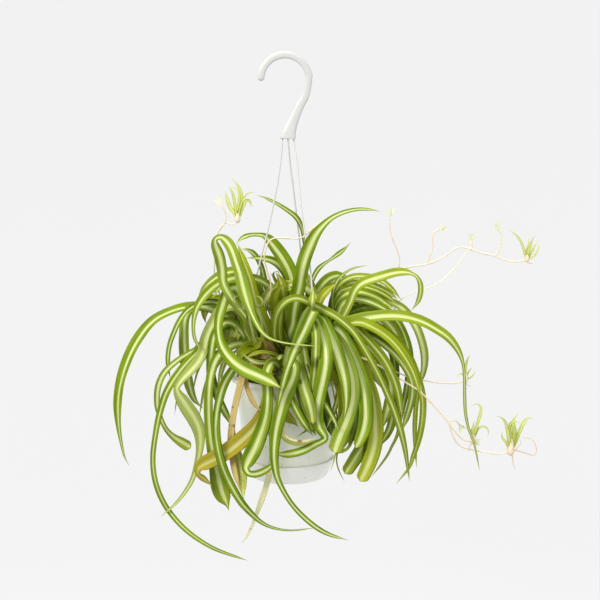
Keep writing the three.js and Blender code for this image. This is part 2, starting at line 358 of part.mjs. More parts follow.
// A plantlet's base is at [across, down, depth, width], its leaves rise from it, and its roots hang.
const PLANTLETS = [
  { name: 'plantlet_left', base: [237.5, 219.5, -10, 6], leaves: [
    leaf('a', [-12, -16], [239, 212, 4], [241, 205, 4.3], [241.6, 197, 4], [240, 190, 3.2],
      [236.5, 183.5, 2.2], [230, 176.3, 1]),
    leaf('b', [-8, -4], [234.5, 213, 4], [230.5, 208, 4.3], [227.8, 201, 4.2], [226, 195, 3.8],
      [225, 190, 2]),
    leaf('c', [-14, -20], [235.6, 211, 3.4], [234.8, 204, 3.4], [233.6, 197, 3.2],
      [231.4, 190.5, 2.8], [227.5, 186, 1]),
    leaf('d', [-6, 2], [237.3, 211, 3.6], [238.6, 203, 3.2], [239.4, 195, 3], [237, 189.5, 2.4],
      [233, 188, 2], [229.5, 190.5, 1]),
    leaf('e', [-5, 0], [240.5, 213, 3.6], [243.5, 205, 4], [246.5, 200, 4], [250, 201.5, 3.8],
      [251.5, 207.5, 1.5]),
    leaf('f', [-14, -18], [240, 208, 2], [244, 198, 2], [249, 193, 2], [256, 192.5, 1]),
  ], roots: [] },
  { name: 'plantlet_right_upper', base: [527, 259.5, 20, 5], leaves: [
    leaf('a', [18, 16], [525, 254, 3], [523.3, 248, 3], [520.5, 241, 2.6], [515.5, 234.5, 2],
      [508.5, 229.8, 1]),
    leaf('b', [16, 12], [528.3, 252, 3.6], [530.2, 245.5, 3.6], [532.5, 239.5, 2.6], [535.5, 235.5, 1]),
    leaf('c', [22, 26], [527, 251, 3.2], [528.6, 245, 3], [528.8, 237.5, 1.4]),
    leaf('d', [22, 28], [530, 254.5, 2.6], [533.3, 249, 2.8], [535.6, 244.5, 2.2], [538.3, 240, 1]),
    leaf('e', [17, 14], [532, 257.5, 2.2], [536.3, 253.5, 2.2], [538.5, 248.5, 1.8], [539, 243.5, 1]),
  ], roots: [[[527, 261, 19], [530, 263.5, 18], [533, 263, 17]]] },
  { name: 'plantlet_right_middle', base: [465.5, 380.5, -46, 5], leaves: [
    leaf('a', [-47, -49], [465.5, 374, 3], [465.8, 367, 3], [467.2, 360, 2.8], [471, 353.5, 1]),
    leaf('b', [-45, -42], [467, 375, 2.4], [469.5, 370.5, 2.4], [473, 366.5, 1]),
    leaf('c', [-48, -52], [463.8, 376, 2.4], [461, 373.6, 2.2], [458, 375, 2], [457, 379, 1]),
    leaf('d', [-44, -41], [468, 378.5, 2], [471.5, 377, 2], [474.5, 373, 1.6], [474, 369.5, 1]),
  ], roots: [[[465.5, 382, -46], [467.5, 385, -47], [471, 386, -47]]] },
  { name: 'plantlet_right_inner', base: [473, 441, -60, 5.5], leaves: [
    leaf('a', [-62, -66], [472.2, 435, 5], [473, 428, 4.2], [474.5, 420, 1.6]),
    leaf('b', [-57, -54], [474.5, 434, 3.4], [477, 425, 3.4], [480, 415, 3.6], [481, 408, 2.6],
      [477, 404, 1.6], [469.5, 406.5, 1]),
    leaf('c', [-56, -52], [475.5, 434.5, 2.4], [479, 428, 2.4], [484.5, 426.5, 2.2],
      [488.3, 430.5, 2], [487.5, 437.5, 1]),
  ], roots: [[[472, 443, -62], [469, 447, -64], [468, 451.5, -64]]] },
  { name: 'plantlet_right_lower', base: [510.5, 451, -60, 8], leaves: [
    leaf('a', [-64, -70], [509, 441, 4], [507.6, 431, 4], [505.5, 422.5, 3.4], [501.5, 417.8, 2.4],
      [496, 416.3, 1]),
    leaf('b', [-56, -52], [512.6, 441, 5], [514.6, 432, 5], [513.4, 425, 4.4], [514, 419, 3],
      [519.5, 412.3, 1]),
    leaf('c', [-54, -50], [515, 443, 4], [519, 433, 4.2], [523.5, 423, 4.2], [528.5, 418, 2.6],
      [534, 419.5, 1]),
    leaf('d', [-66, -72], [506.5, 443, 3], [502.6, 438, 2.6], [501.8, 434, 2], [503, 430.5, 1]),
    leaf('e', [-60, -62], [511, 436, 3.6], [509.8, 427, 3.4], [512.5, 421.4, 2.8], [521, 423.4, 1]),
  ], roots: [
    [[511, 452, -61], [517, 448, -65], [521, 442.5, -66], [518.8, 439, -66]],
    [[512, 454, -60], [513, 463, -60], [514.6, 468.5, -60]],
    [[514, 450, -59], [524, 452.5, -58], [533.5, 455, -57], [536.5, 449, -57], [532, 439.5, -57],
      [522, 437.5, -57]],
  ] },
];

const CROWNS = {
  left: { x: -30, y: -5, leaves: LEFT_LEAVES, colour: 0x7fa82a },
  centre: { x: 4, y: 31, leaves: CENTRE_LEAVES, colour: 0x86ad30 },
  right: { x: 38, y: 0, leaves: RIGHT_LEAVES, colour: 0x8fb634 },
  front: { x: -2, y: -36, leaves: FRONT_LEAVES, colour: 0x93b83a },
  dry: { x: -26, y: -45, leaves: DRY_LEAVES, colour: 0xc9ad76 },
};
const DRY_CORE_RADIUS = 5;
const CORE_SIDES = 10;
const ROOT_INSET = [3, 7];
const ROOT_HEIGHT = [-406, -392];
const ROOT_WIDTH = [7, 9];

// The three wires, as [across, down] between the block and the rim, and the rim's azimuth for each.
const WIRES = [
  { name: 'wire_left', side: -1, azimuth: 180,
    points: [[280.4, 163], [276.5, 189], [268.2, 229], [260, 262]] },
  { name: 'wire_back', side: 0, azimuth: 60,
    points: [[290, 163], [293.2, 187], [298.2, 229], [302, 262]] },
  { name: 'wire_right', side: 1, azimuth: -60,
    points: [[297, 163], [300.1, 196], [304.2, 229], [311, 275]] },
];
const WIRE_HOLE_RADIUS = 72.4;
const WIRE_STRAIGHT = 3;
const WIRE_STEPS = 12;
const WIRE_SAMPLES = 60;
const BEAD_RADIUS = 2.5;
const BEAD_HEIGHT = 3;

// Leaves for the back of the plant, which the view doesn't show, follow a seeded rule. A leaf starts
// at its rise, a slope in radians, and turns over to its fall.
const BACK_DRAWS = 24;
const BACK_SPREAD = [14, 166];
const BACK_REACH = [150, 330];
const BACK_WIDTH = [12, 18];
const BACK_RISE = [0.7, 1.35];
const BACK_FALL = -1.35;
const BACK_STEP = 60;
const BACK_BEND = 0.62;
const SEED = 41;

// How leaves that would meet are moved apart in depth
const MM_PER_STEP = 1.3;
const TILT = THREE.MathUtils.degToRad(36);
const CLEARANCE = 4;
const NODE_CLEARANCE = 5.2;
const PLAIN_ORDER = 25;
const RIM_CLEARANCE = 10;
const TILT_ROOM = 0.75;
const ROOT_FREE = 45;
const DRAG = 0.2;
const POT_CLEARANCE = 6;
const WIRE_CLEARANCE = 5;
const FINE_STEPS = 6;
const ROOT_HELD = 12;
const ROOT_EASE = 70;
const END_EASE = 50;
const SAMPLE_REACH = 0.85;
const BEND_ROOM = 0.85;
const OUTER_SHARE = 0.6;
const ROUTE_KEY = 1000;

// Solids and joins

function closedMesh(geometry) {
  const bare = geometry.clone();
  bare.deleteAttribute('normal');
  bare.deleteAttribute('uv');
  const merged = mergeVertices(bare, 1e-4);
  const numbers = new Float32Array(merged.attributes.position.array);
  return new wasm.Manifold(new wasm.Mesh({
    numProp: 3, vertProperties: numbers, triVerts: new Uint32Array(merged.index.array),
  }));
}

// The largest body of a join: a sealed hollow is filled and a loose scrap is dropped.
function mainBody(solid) {
  const bodies = solid.decompose();
  return bodies.reduce((best, body) => (body.volume() > best.volume() ? body : best));
}

function join(solids) {
  return mainBody(solids.reduce((all, next) => all.add(next)));
}

function toGeometry(solid) {
  const mesh = solid.getMesh();
  const geometry = new THREE.BufferGeometry();
  geometry.setAttribute('position', new THREE.BufferAttribute(new Float32Array(mesh.vertProperties), 3));
  geometry.setIndex(new THREE.BufferAttribute(new Uint32Array(mesh.triVerts), 1));
  geometry.computeVertexNormals();
  return geometry;
}

function piece(name, geometry, colour, roughness) {
  const material = new THREE.MeshStandardMaterial({ color: colour, roughness, metalness: 0 });
  const mesh = new THREE.Mesh(geometry, material);
  mesh.name = name;
  return mesh;
}

// A closed body through rings of points, all with the same count, in order along it. Facing faces of
// a thin blade are split along matching diagonals, because every ring numbers its points alike.
function loft(rings) {
  const count = rings[0].length;
  const positions = rings.flat().flatMap((p) => [p.x, p.y, p.z]);
  const faces = [];
  for (let i = 0; i < rings.length - 1; i += 1) {
    for (let j = 0; j < count; j += 1) {
      faces.push(...wallQuad(i * count, j, count));
    }
  }
  const last = (rings.length - 1) * count;
  for (let j = 1; j < count - 1; j += 1) {
    faces.push(0, j + 1, j);
    faces.push(last, last + j, last + j + 1);
  }
  const geometry = new THREE.BufferGeometry();
  geometry.setAttribute('position', new THREE.Float32BufferAttribute(positions, 3));
  geometry.setIndex(faces);
  return closedMesh(geometry);
}

// The two triangles of a wall quad. The far half of a ring mirrors its diagonal.
function wallQuad(start, j, count) {
  const a = start + j;
  const b = start + (j + 1) % count;
  const c = b + count;
  const d = a + count;
  return j < count / 2 ? [a, b, c, a, c, d] : [a, b, d, b, c, d];
}

function upright(radius, z0, z1, sides, x, y) {
  const geometry = new THREE.CylinderGeometry(radius, radius, z1 - z0, sides);
  geometry.rotateX(Math.PI / 2);
  geometry.translate(x, y, (z0 + z1) / 2);
  return closedMesh(geometry);
}

function turned(profile, sides) {
  const geometry = new THREE.LatheGeometry(profile.map(([r, z]) => new THREE.Vector2(r, z)), sides);
  geometry.rotateX(Math.PI / 2);
  geometry.translate(POT_X, 0, 0);
  return closedMesh(geometry);
}

// The holder

const POT_FOOT_Z = BOTTOM_Z + SAUCER_WALL + GAP;
const RIM_UNDER_Z = RIM_Z - RIM_THICKNESS;
const WALL_TOP_RADIUS = RIM_RADIUS - RIM_WIDTH;
const WALL_LOW_RADIUS = 58.4;

function wallRadius(z) {
  const share = (z - SAUCER_RIM_Z) / (RIM_Z - SAUCER_RIM_Z);
  return WALL_LOW_RADIUS + (WALL_TOP_RADIUS - WALL_LOW_RADIUS) * share;
}

function wireHoles() {
  return WIRES.map((wire) => rimPlace(wire.azimuth));
}

function rimPlace(azimuth) {
  const angle = THREE.MathUtils.degToRad(azimuth);
  return new THREE.Vector2(POT_X + WIRE_HOLE_RADIUS * Math.cos(angle), WIRE_HOLE_RADIUS * Math.sin(angle));
}

function makePot() {
  const inner = POT_FOOT_RADIUS - WALL;
  const body = turned([
    [0, POT_FOOT_Z], [POT_FOOT_RADIUS - FOOT_EDGE, POT_FOOT_Z], [POT_FOOT_RADIUS, POT_FOOT_Z + FOOT_EDGE],
    [WALL_LOW_RADIUS, SAUCER_RIM_Z], [wallRadius(RIM_UNDER_Z), RIM_UNDER_Z],
    [RIM_RADIUS, RIM_UNDER_Z], [RIM_RADIUS, RIM_Z], [WALL_TOP_RADIUS - WALL, RIM_Z],
    [WALL_LOW_RADIUS - WALL, SAUCER_RIM_Z], [inner, POT_FOOT_Z + WALL + FLOOR_EDGE],
    [inner - FOOT_EDGE, POT_FOOT_Z + WALL], [0, POT_FOOT_Z + WALL],
  ], POT_SIDES);
  const holes = wireHoles().map((p) => (
    upright(WIRE_RADIUS + WIRE_HOLE_ROOM, RIM_UNDER_Z - 1, RIM_Z + 1, HOLE_SIDES, p.x, p.y)));
  return holes.reduce((pot, hole) => pot.subtract(hole), body);
}

function makeSaucer() {
  const innerBase = POT_FOOT_RADIUS + GAP + SAUCER_ROOM;
  return turned([
    [0, BOTTOM_Z], [SAUCER_BASE_RADIUS - FOOT_EDGE, BOTTOM_Z], [SAUCER_BASE_RADIUS, BOTTOM_Z + SAUCER_EDGE],
    [SAUCER_RIM_RADIUS, SAUCER_RIM_Z], [SAUCER_RIM_RADIUS - SAUCER_WALL, SAUCER_RIM_Z],
    [innerBase, BOTTOM_Z + SAUCER_WALL + FLOOR_EDGE], [innerBase - FOOT_EDGE / 2, BOTTOM_Z + SAUCER_WALL],
    [0, BOTTOM_Z + SAUCER_WALL],
  ], POT_SIDES);
}

// The soil fills the pot, with a plain hole for each crown's stem and each stalk's foot.
function makeSoil() {
  const inset = WALL + GAP;
  const floor = POT_FOOT_Z + WALL + GAP;
  const body = turned([
    [0, floor], [POT_FOOT_RADIUS - inset - SOIL_EDGE, floor], [POT_FOOT_RADIUS - inset, floor + SOIL_EDGE],
    [WALL_LOW_RADIUS - inset, SAUCER_RIM_Z], [wallRadius(SOIL_Z) - inset, SOIL_Z],
    [wallRadius(SOIL_Z) - inset - SOIL_SHOULDER, SOIL_Z + SOIL_RISE], [0, SOIL_Z + SOIL_RISE],
  ], POT_SIDES);
  const holes = [];
  for (const crown of Object.values(CROWNS)) {
    const radius = coreRadius(crown) + GAP * 1.3;
    holes.push(upright(radius, CORE_BOTTOM_Z - GAP, SOIL_Z + SOIL_HOLE_TOP, CORE_SIDES, crown.x, crown.y));
  }
  for (const { foot, radius } of STALKS) {
    const top = SOIL_Z + SOIL_HOLE_TOP;
    holes.push(upright(radius + GAP * 1.6, STALK_FOOT_Z - GAP, top, HOLE_SIDES, foot[0], foot[1]));
  }
  return mainBody(holes.reduce((soil, hole) => soil.subtract(hole), body));
}

function coreRadius(crown) {
  return crown === CROWNS.dry ? DRY_CORE_RADIUS : CORE_RADIUS;
}

const STALK_FOOT_Z = SOIL_Z - STALK_DEPTH;

// The hook's centre line: its tip, a half circle, and the shank down to the block, as [x, z, width].
function hookLine() {
  const radius = HOOK_INNER_RADIUS + HOOK_BAND / 2;
  const line = [];
  for (let degrees = 184; degrees >= -6; degrees -= 12) {
    const angle = THREE.MathUtils.degToRad(degrees);
    line.push([radius * Math.cos(angle), -HOOK_INNER_RADIUS + radius * Math.sin(angle), HOOK_BAND]);
  }
  line.push([26.2, -46, HOOK_BAND + 1], [19.8, -58, HOOK_BAND + 1.5], [14, -71, HOOK_BAND + 2.5]);
  line.push([8.6, -84, HOOK_BAND + 5], [5, -94, BLOCK_WIDTH - 2], [BLOCK_X, BLOCK_Z, BLOCK_WIDTH]);
  return line;
}

function makeHook() {
  const line = hookLine();
  const rings = line.map(([x, z, width], i) => {
    const before = line[Math.max(i - 1, 0)];
    const after = line[Math.min(i + 1, line.length - 1)];
    const along = new THREE.Vector3(after[0] - before[0], 0, after[1] - before[1]).normalize();
    if (i === line.length - 1) along.set(0, 0, -1);
    const across = new THREE.Vector3().crossVectors(along, new THREE.Vector3(0, 1, 0));
    const depth = THREE.MathUtils.mapLinear(width, HOOK_BAND, BLOCK_WIDTH, HOOK_DEPTH, BLOCK_DEPTH);
    return hookRing(new THREE.Vector3(x, 0, z), across, width / 2, depth / 2);
  });
  return wirePlaces().reduce((hook, x) => {
    const socket = upright(WIRE_RADIUS + GAP, BLOCK_Z - 1, BLOCK_Z + WIRE_SOCKET, HOLE_SIDES, x, 0);
    return hook.subtract(socket);
  }, loft(rings));
}

function hookRing(centre, across, halfWidth, halfDepth) {
  const ring = [];
  for (let j = 0; j < HOOK_SIDES; j += 1) {
    const angle = -(j / HOOK_SIDES) * Math.PI * 2;
    const side = across.clone().multiplyScalar(halfWidth * Math.cos(angle));
    ring.push(centre.clone().add(side).add(new THREE.Vector3(0, halfDepth * Math.sin(angle), 0)));
  }
  return ring;
}

function wirePlaces() {
  return WIRES.map((wire) => BLOCK_X + wire.side * WIRE_SPACING);
}

// A wire's line: straight in the block, along the route, and straight down through the rim.
function wireLine(wire) {
  const rim = rimPlace(wire.azimuth);
  const x = BLOCK_X + wire.side * WIRE_SPACING;
  const span = wire.points.map(([across, down]) => {
    const flat = fromView(across, down, 0);
    return fromView(across, down, rim.y * (BLOCK_Z - flat.z) / (BLOCK_Z - RIM_Z));
  });
  const under = new THREE.Vector3(x, 0, BLOCK_Z - WIRE_STRAIGHT);
  const over = new THREE.Vector3(rim.x, rim.y, RIM_Z + WIRE_STRAIGHT);
  const free = new THREE.CatmullRomCurve3([under, ...span, over]);
  return [
    new THREE.Vector3(x, 0, BLOCK_Z + WIRE_SOCKET - GAP * 2), ...free.getSpacedPoints(WIRE_STEPS),
    new THREE.Vector3(rim.x, rim.y, RIM_UNDER_Z - BEAD_HEIGHT),
  ];
}

function makeWire(wire) {
  const line = wireLine(wire);
  const rim = rimPlace(wire.azimuth);
  const beadTop = RIM_UNDER_Z - GAP;
  const bead = upright(BEAD_RADIUS, beadTop - BEAD_HEIGHT, beadTop, HOLE_SIDES, rim.x, rim.y);
  return join([tube(line, line.map(() => WIRE_RADIUS)), bead]);
}

// Routes: smooth, evenly sampled, and moved apart in depth where they would meet

function viewScale(place) {
  const d = place.clone().sub(EYE);
  return (d.y * Math.cos(VIEW_PITCH) - d.z * Math.sin(VIEW_PITCH)) / VIEW_FOCAL;
}

function spread(values, share) {
  const at = share * (values.length - 1);
  const low = Math.min(Math.floor(at), values.length - 2);
  return values.length === 1 ? values[0] : values[low] + (values[low + 1] - values[low]) * (at - low);
}

function curveValue(a, b, c, d, t) {
  const cubic = 3 * b - a - 3 * c + d;
  const square = 2 * a - 5 * b + 4 * c - d;
  return 0.5 * (2 * b + (c - a) * t + square * t * t + cubic * t * t * t);
}

function beyond(end, next) {
  return end.map((value, k) => 2 * value - next[k]);
}

function smooth(points) {
  const last = points.length - 1;
  const open = [beyond(points[0], points[1]), ...points, beyond(points[last], points[last - 1])];
  const fine = [];
  for (let i = 1; i <= last; i += 1) {
    for (let j = 0; j < FINE_STEPS; j += 1) {
      fine.push(open[i].map((value, k) => (
        curveValue(open[i - 1][k], value, open[i + 1][k], open[i + 2][k], j / FINE_STEPS))));
    }
  }
  fine.push(points[last]);
  return fine;
}

// Values [across, down, depth, width] at even steps along a route's length in space.
function evenly(fine, step) {
  const places = fine.map(([across, down, depth]) => fromView(across, down, depth));
  const along = [0];
  for (let i = 1; i < places.length; i += 1) {
    along.push(along[i - 1] + places[i].distanceTo(places[i - 1]));
  }
  const total = along[along.length - 1];
  const count = Math.max(4, Math.round(total / step));
  const samples = [];
  for (let k = 0, i = 0; k <= count; k += 1) {
    const target = total * k / count;
    while (i < along.length - 2 && along[i + 1] < target) i += 1;
    const t = (target - along[i]) / (along[i + 1] - along[i]);
    samples.push(fine[i].map((value, n) => value + (fine[i + 1][n] - value) * t));
  }
  return { samples, length: total };
}

// A place in space as route values, for the hidden start of a leaf or stalk.
function asRoute(place, width) {
  const [across, down] = toView(place);
  return [across, down, place.y, width / viewScale(place)];
}

function leafRoute(item, crown, group) {
  const traced = item.points.map(([across, down, width], i) => (
    [across, down, spread(item.depths, i / (item.points.length - 1)), width]));
  const first = fromView(traced[0][0], traced[0][1], traced[0][2]);
  const out = new THREE.Vector3(first.x - crown.x, first.y - crown.y, 0).normalize();
  const scale = coreRadius(crown) / CORE_RADIUS;
  const roots = ROOT_INSET.map((inset, i) => {
    const place = new THREE.Vector3(crown.x, crown.y, ROOT_HEIGHT[i]).addScaledVector(out, inset * scale);
    return asRoute(place, ROOT_WIDTH[i] * scale);
  });
  const { samples, length } = evenly(smooth([...roots, ...traced]), SAMPLE_STEP);
  const tip = traced[traced.length - 1];
  const end = fromView(tip[0], tip[1], tip[2]);
  const aside = Math.abs(end.x - crown.x);
  const share = aside / (aside + Math.abs(end.y - crown.y));
  return { name: item.name, group, samples, length, tilt: TILT * share, fixed: false };
}

function stalkRoute(item) {
  const traced = item.points.map(([across, down], i) => (
    [across, down, spread(item.depths, i / (item.points.length - 1)), item.radius * 1.6]));
  const feet = [STALK_FOOT_Z, SOIL_Z + 2, SOIL_Z + 16].map((z) => (
    asRoute(new THREE.Vector3(item.foot[0], item.foot[1], z), item.radius * 2)));
  const { samples, length } = evenly(smooth([...feet, ...traced]), SAMPLE_STEP);
  return { name: item.name, group: item.name, samples, length, tilt: 0, fixed: false, stalk: true };
}

function wireRoute(wire) {
  const curve = new THREE.CatmullRomCurve3(wireLine(wire));
  const samples = curve.getSpacedPoints(WIRE_SAMPLES).map((place) => asRoute(place, WIRE_RADIUS * 4));
  return { name: wire.name, group: wire.name, samples, length: curve.getLength(), tilt: 0, fixed: true };
}

// One list of all the samples, with what each may move and how much room it takes.
function gather(routes) {
  const all = [];
  routes.forEach((route, index) => {
    const count = route.samples.length - 1;
    route.samples.forEach((values, i) => {
      const place = fromView(values[0], values[1], values[2]);
      const run = route.length * i / count;
      all.push({
        route: index, across: values[0], down: values[1], start: values[2], shift: 0, run, place,
        half: values[3] * viewScale(place) / 2, lean: Math.tan(route.tilt),
        freedom: freedomAt(route, run),
      });
    });
  });
  return all;
}

// A root doesn't move, and nor does the end of a stalk that carries a plantlet.
function freedomAt(route, run) {
  if (route.fixed) return 0;
  const root = Math.min(1, Math.max(0, (run - ROOT_HELD) / ROOT_EASE));
  return route.stalk ? Math.min(root, Math.max(0, (route.length - run) / END_EASE)) : root;
}

function nearPairs(all, routes) {
  const pairs = [];
  for (let i = 0; i < all.length; i += 1) {
    for (let j = i + 1; j < all.length; j += 1) {
      const a = all[i];
      const b = all[j];
      if (a.route === b.route) continue;
      const reach = Math.max(a.half + b.half + 2, SAMPLE_STEP * SAMPLE_REACH);
      const apart = Math.hypot(a.across - b.across, a.down - b.down) * MM_PER_STEP;
      if (apart >= reach || atSameRoot(a, b, routes)) continue;
      const clear = routes[a.route].group === routes[b.route].group ? CLEARANCE : NODE_CLEARANCE;
      const room = clear + TILT_ROOM * (a.half * a.lean + b.half * b.lean);
      pairs.push({ i, j, need: room * Math.sqrt(1 - (apart / reach) ** 2) });
    }
  }
  return pairs;
}

function atSameRoot(a, b, routes) {
  const same = routes[a.route].group === routes[b.route].group;
  return same && a.run < ROOT_FREE && b.run < ROOT_FREE;
}

// Which of two routes lies behind the other: as drawn where they are far apart, and elsewhere the
// same for the whole of both.
function orderPairs(pairs, all) {
  const sums = new Map();
  for (const { i, j } of pairs) {
    const key = all[i].route * ROUTE_KEY + all[j].route;
    sums.set(key, (sums.get(key) || 0) + all[i].start - all[j].start);
  }
  for (const pair of pairs) {
    const key = all[pair.i].route * ROUTE_KEY + all[pair.j].route;
    const drawn = all[pair.i].start - all[pair.j].start;
    pair.sign = (Math.abs(drawn) > PLAIN_ORDER ? drawn : sums.get(key)) >= 0 ? 1 : -1;
  }
}

// How far from the pot's axis plane a sample must stay, so that it hangs outside the pot.
function potLimit(sample) {
  const { z } = sample.place;
  if (z > RIM_Z + RIM_CLEARANCE) return 0;
  const wall = Math.max(wallRadius(z), SAUCER_RIM_RADIUS) + POT_CLEARANCE;
  const rim = z > RIM_UNDER_Z - RIM_CLEARANCE * 2 ? RIM_RADIUS + RIM_CLEARANCE : 0;
  const clear = Math.max(wall, rim) + sample.half * sample.lean * 0.6;
  const left = clear ** 2 - (sample.place.x - POT_X) ** 2;
  const overPot = Math.hypot(sample.place.x - POT_X, sample.place.y) < WALL_LOW_RADIUS;
  return left > 0 && !(overPot && sample.run < ROOT_FREE) ? Math.sqrt(left) : 0;
}

function settle(routes) {
  const all = gather(routes);
  const pairs = nearPairs(all, routes);
  orderPairs(pairs, all);
  const limits = all.map(potLimit);
  for (let round = 0; round < RELAX_ROUNDS; round += 1) {
    pushApart(all, pairs);
    evenShifts(all);
    keepOutside(all, limits);
  }
  let k = 0;
  for (const route of routes) {
    for (const values of route.samples) {
      values[2] = all[k].start + all[k].shift;
      k += 1;
    }
  }
}

function pushApart(all, pairs) {
  const push = new Float64Array(all.length);
  const count = new Float64Array(all.length);
  for (const { i, j, need, sign } of pairs) {
    const gap = sign * (all[i].start + all[i].shift - all[j].start - all[j].shift);
    if (gap >= need) continue;
    const share = all[i].freedom + all[j].freedom;
    if (share === 0) continue;
    push[i] += sign * (need - gap) / share;
    push[j] -= sign * (need - gap) / share;
    count[i] += 1;
    count[j] += 1;
  }
  all.forEach((sample, i) => {
    if (count[i] > 0) sample.shift += sample.freedom * push[i] / count[i];
  });
}

function evenShifts(all) {
  const before = all.map((sample) => sample.shift);
  for (let i = 1; i < all.length - 1; i += 1) {
    const { route, freedom } = all[i];
    if (all[i - 1].route !== route || all[i + 1].route !== route) continue;
    const mean = (before[i - 1] + before[i + 1]) / 2;
    all[i].shift += DRAG * Math.min(1, freedom * 2) * (mean - before[i]);
  }
}

function keepOutside(all, limits) {
  all.forEach((sample, i) => {
    if (limits[i] === 0 || sample.freedom === 0) return;
    const depth = sample.start + sample.shift;
    if (Math.abs(depth) < limits[i]) {
      sample.shift = (sample.start > 0 ? limits[i] : -limits[i]) - sample.start;
    }
  });
}

// Blades

// At each place along a leaf: the place, the way across the blade, its upper side and half width.
function bladeFrames(places, halves, tilt) {
  const ways = places.map((place, i) => {
    const before = places[Math.max(i - 1, 0)];
    return places[Math.min(i + 1, places.length - 1)].clone().sub(before).normalize();
  });
  const sides = seenSides(places, ways);
  const turn = tilt * (sides.reduce((sum, side) => sum + side.z, 0) > 0 ? -1 : 1);
  return places.map((place, i) => {
    const upper = new THREE.Vector3().crossVectors(ways[i], sides[i]).normalize();
    const across = sides[i].clone().multiplyScalar(Math.cos(turn)).addScaledVector(upper, Math.sin(turn));
    const normal = new THREE.Vector3().crossVectors(ways[i], across).normalize();
    const half = bentHalf(halves[i] / Math.cos(turn), ways, i, across, places);
    return { place, across, normal, way: ways[i], half };
  });
}

// The way across a blade as the view shows it, without a sudden turn where a leaf comes forward.
function seenSides(places, ways) {
  const raw = [];
  places.forEach((place, i) => {
    const sight = place.clone().sub(EYE).normalize();
    const side = new THREE.Vector3().crossVectors(ways[i], sight);
    if (i > 0 && side.dot(raw[i - 1]) < 0) side.negate();
    raw.push(side);
  });
  const first = Math.floor(places.length * OUTER_SHARE);
  const facing = raw.slice(first).reduce((sum, side, i) => {
    const sight = places[first + i].clone().sub(EYE).normalize();
    return sum - new THREE.Vector3().crossVectors(ways[first + i], side).dot(sight);
  }, 0);
  return raw.map((_, i) => {
    const side = new THREE.Vector3();
    [-2, -1, 0, 1, 2].forEach((offset) => {
      const k = Math.min(Math.max(i + offset, 0), raw.length - 1);
      side.addScaledVector(raw[k], 3 - Math.abs(offset));
    });
    side.addScaledVector(ways[i], -side.dot(ways[i]));
    return side.normalize().multiplyScalar(facing < 0 ? -1 : 1);
  });
}

// A blade is no wider than its bend in its own plane leaves room for.
function bentHalf(half, ways, i, across, places) {
  const low = Math.max(i - 1, 0);
  const high = Math.min(i + 1, ways.length - 1);
  const run = places[high].distanceTo(places[low]);
  const bend = Math.abs(ways[high].clone().sub(ways[low]).dot(across)) / run;
  return bend > 0 ? Math.min(half, BEND_ROOM / bend) : half;
}

// The places along a blade that its solid keeps: closer together where it bends.
function stationsOf(frames, step, bend) {
  const kept = [0];
  let turned = 0;
  let run = 0;
  for (let i = 1; i < frames.length - 1; i += 1) {
    const before = frames[i - 1];
    turned += frames[i].way.angleTo(before.way) + frames[i].normal.angleTo(before.normal) * 0.5;
    run += frames[i].place.distanceTo(before.place);
    if (run >= step || turned >= bend) {
      kept.push(i);
      turned = 0;
      run = 0;
    }
  }
  kept.push(frames.length - 1);
  return kept.map((i) => frames[i]);
}

function bladeRing({ place, across, normal, half }, thickness) {
  const middle = place.clone().addScaledVector(normal, -BLADE_CHANNEL * half * 2);
  return [
    place.clone().addScaledVector(across, -half),
    middle.clone().addScaledVector(normal, -thickness / 2),
    place.clone().addScaledVector(across, half),
    middle.clone().addScaledVector(normal, thickness / 2),
  ];
}

function blade(frames, step, bend, thickness) {
  const stations = stationsOf(frames, step, bend);
  return loft(stations.map((station) => bladeRing(station, thickness)));
}

function leafFrames(route) {
  const places = route.samples.map(([across, down, depth]) => fromView(across, down, depth));
  const halves = route.samples.map((values, i) => (
    Math.max(values[3] * viewScale(places[i]) / 2, 0.8)));
  return bladeFrames(places, halves, route.tilt);
}

// Leaves at the back arch away from the view, with their blades lying flat across their way.
function randomFrom(seed) {
  let state = seed;
  return (low, high) => {
    state = (state * 16807) % 2147483647;
    return low + (high - low) * (state / 2147483647);
  };
}

function backFrames(crown, azimuth, reach, width, rise) {
  const angle = THREE.MathUtils.degToRad(azimuth);
  const out = new THREE.Vector3(Math.cos(angle), Math.sin(angle), 0);
  const across = new THREE.Vector3().crossVectors(UP, out);
  const count = Math.round(reach / SAMPLE_STEP);
  const place = new THREE.Vector3(crown.x, crown.y, ROOT_HEIGHT[0]).addScaledVector(out, 3);
  const frames = [];
  for (let i = 0; i <= count; i += 1) {
    const share = i / count;
    const slope = THREE.MathUtils.lerp(rise, BACK_FALL, Math.min(1, share * 1.15) ** 0.8);
    const way = out.clone().multiplyScalar(Math.cos(slope)).addScaledVector(UP, Math.sin(slope));
    const normal = new THREE.Vector3().crossVectors(way, across);
    const swell = Math.min(1, 0.5 + share * 4) * (1 - share ** 3 * 0.95);
    frames.push({ place: place.clone(), across: across.clone(), normal, way, half: width / 2 * swell });
    place.addScaledVector(way, SAMPLE_STEP);
  }
  return frames;
}

function clearOfWires(frames, spots) {
  return spots.every((spot) => (
    frames.every((frame) => frame.place.distanceTo(spot) > frame.half + WIRE_CLEARANCE)));
}

function clearOfPot(frames) {
  return frames.slice(6).every(({ place, half }) => (
    place.z > RIM_Z + 8 || Math.hypot(place.x - POT_X, place.y) > RIM_RADIUS + half * 0.3 + 3));
}

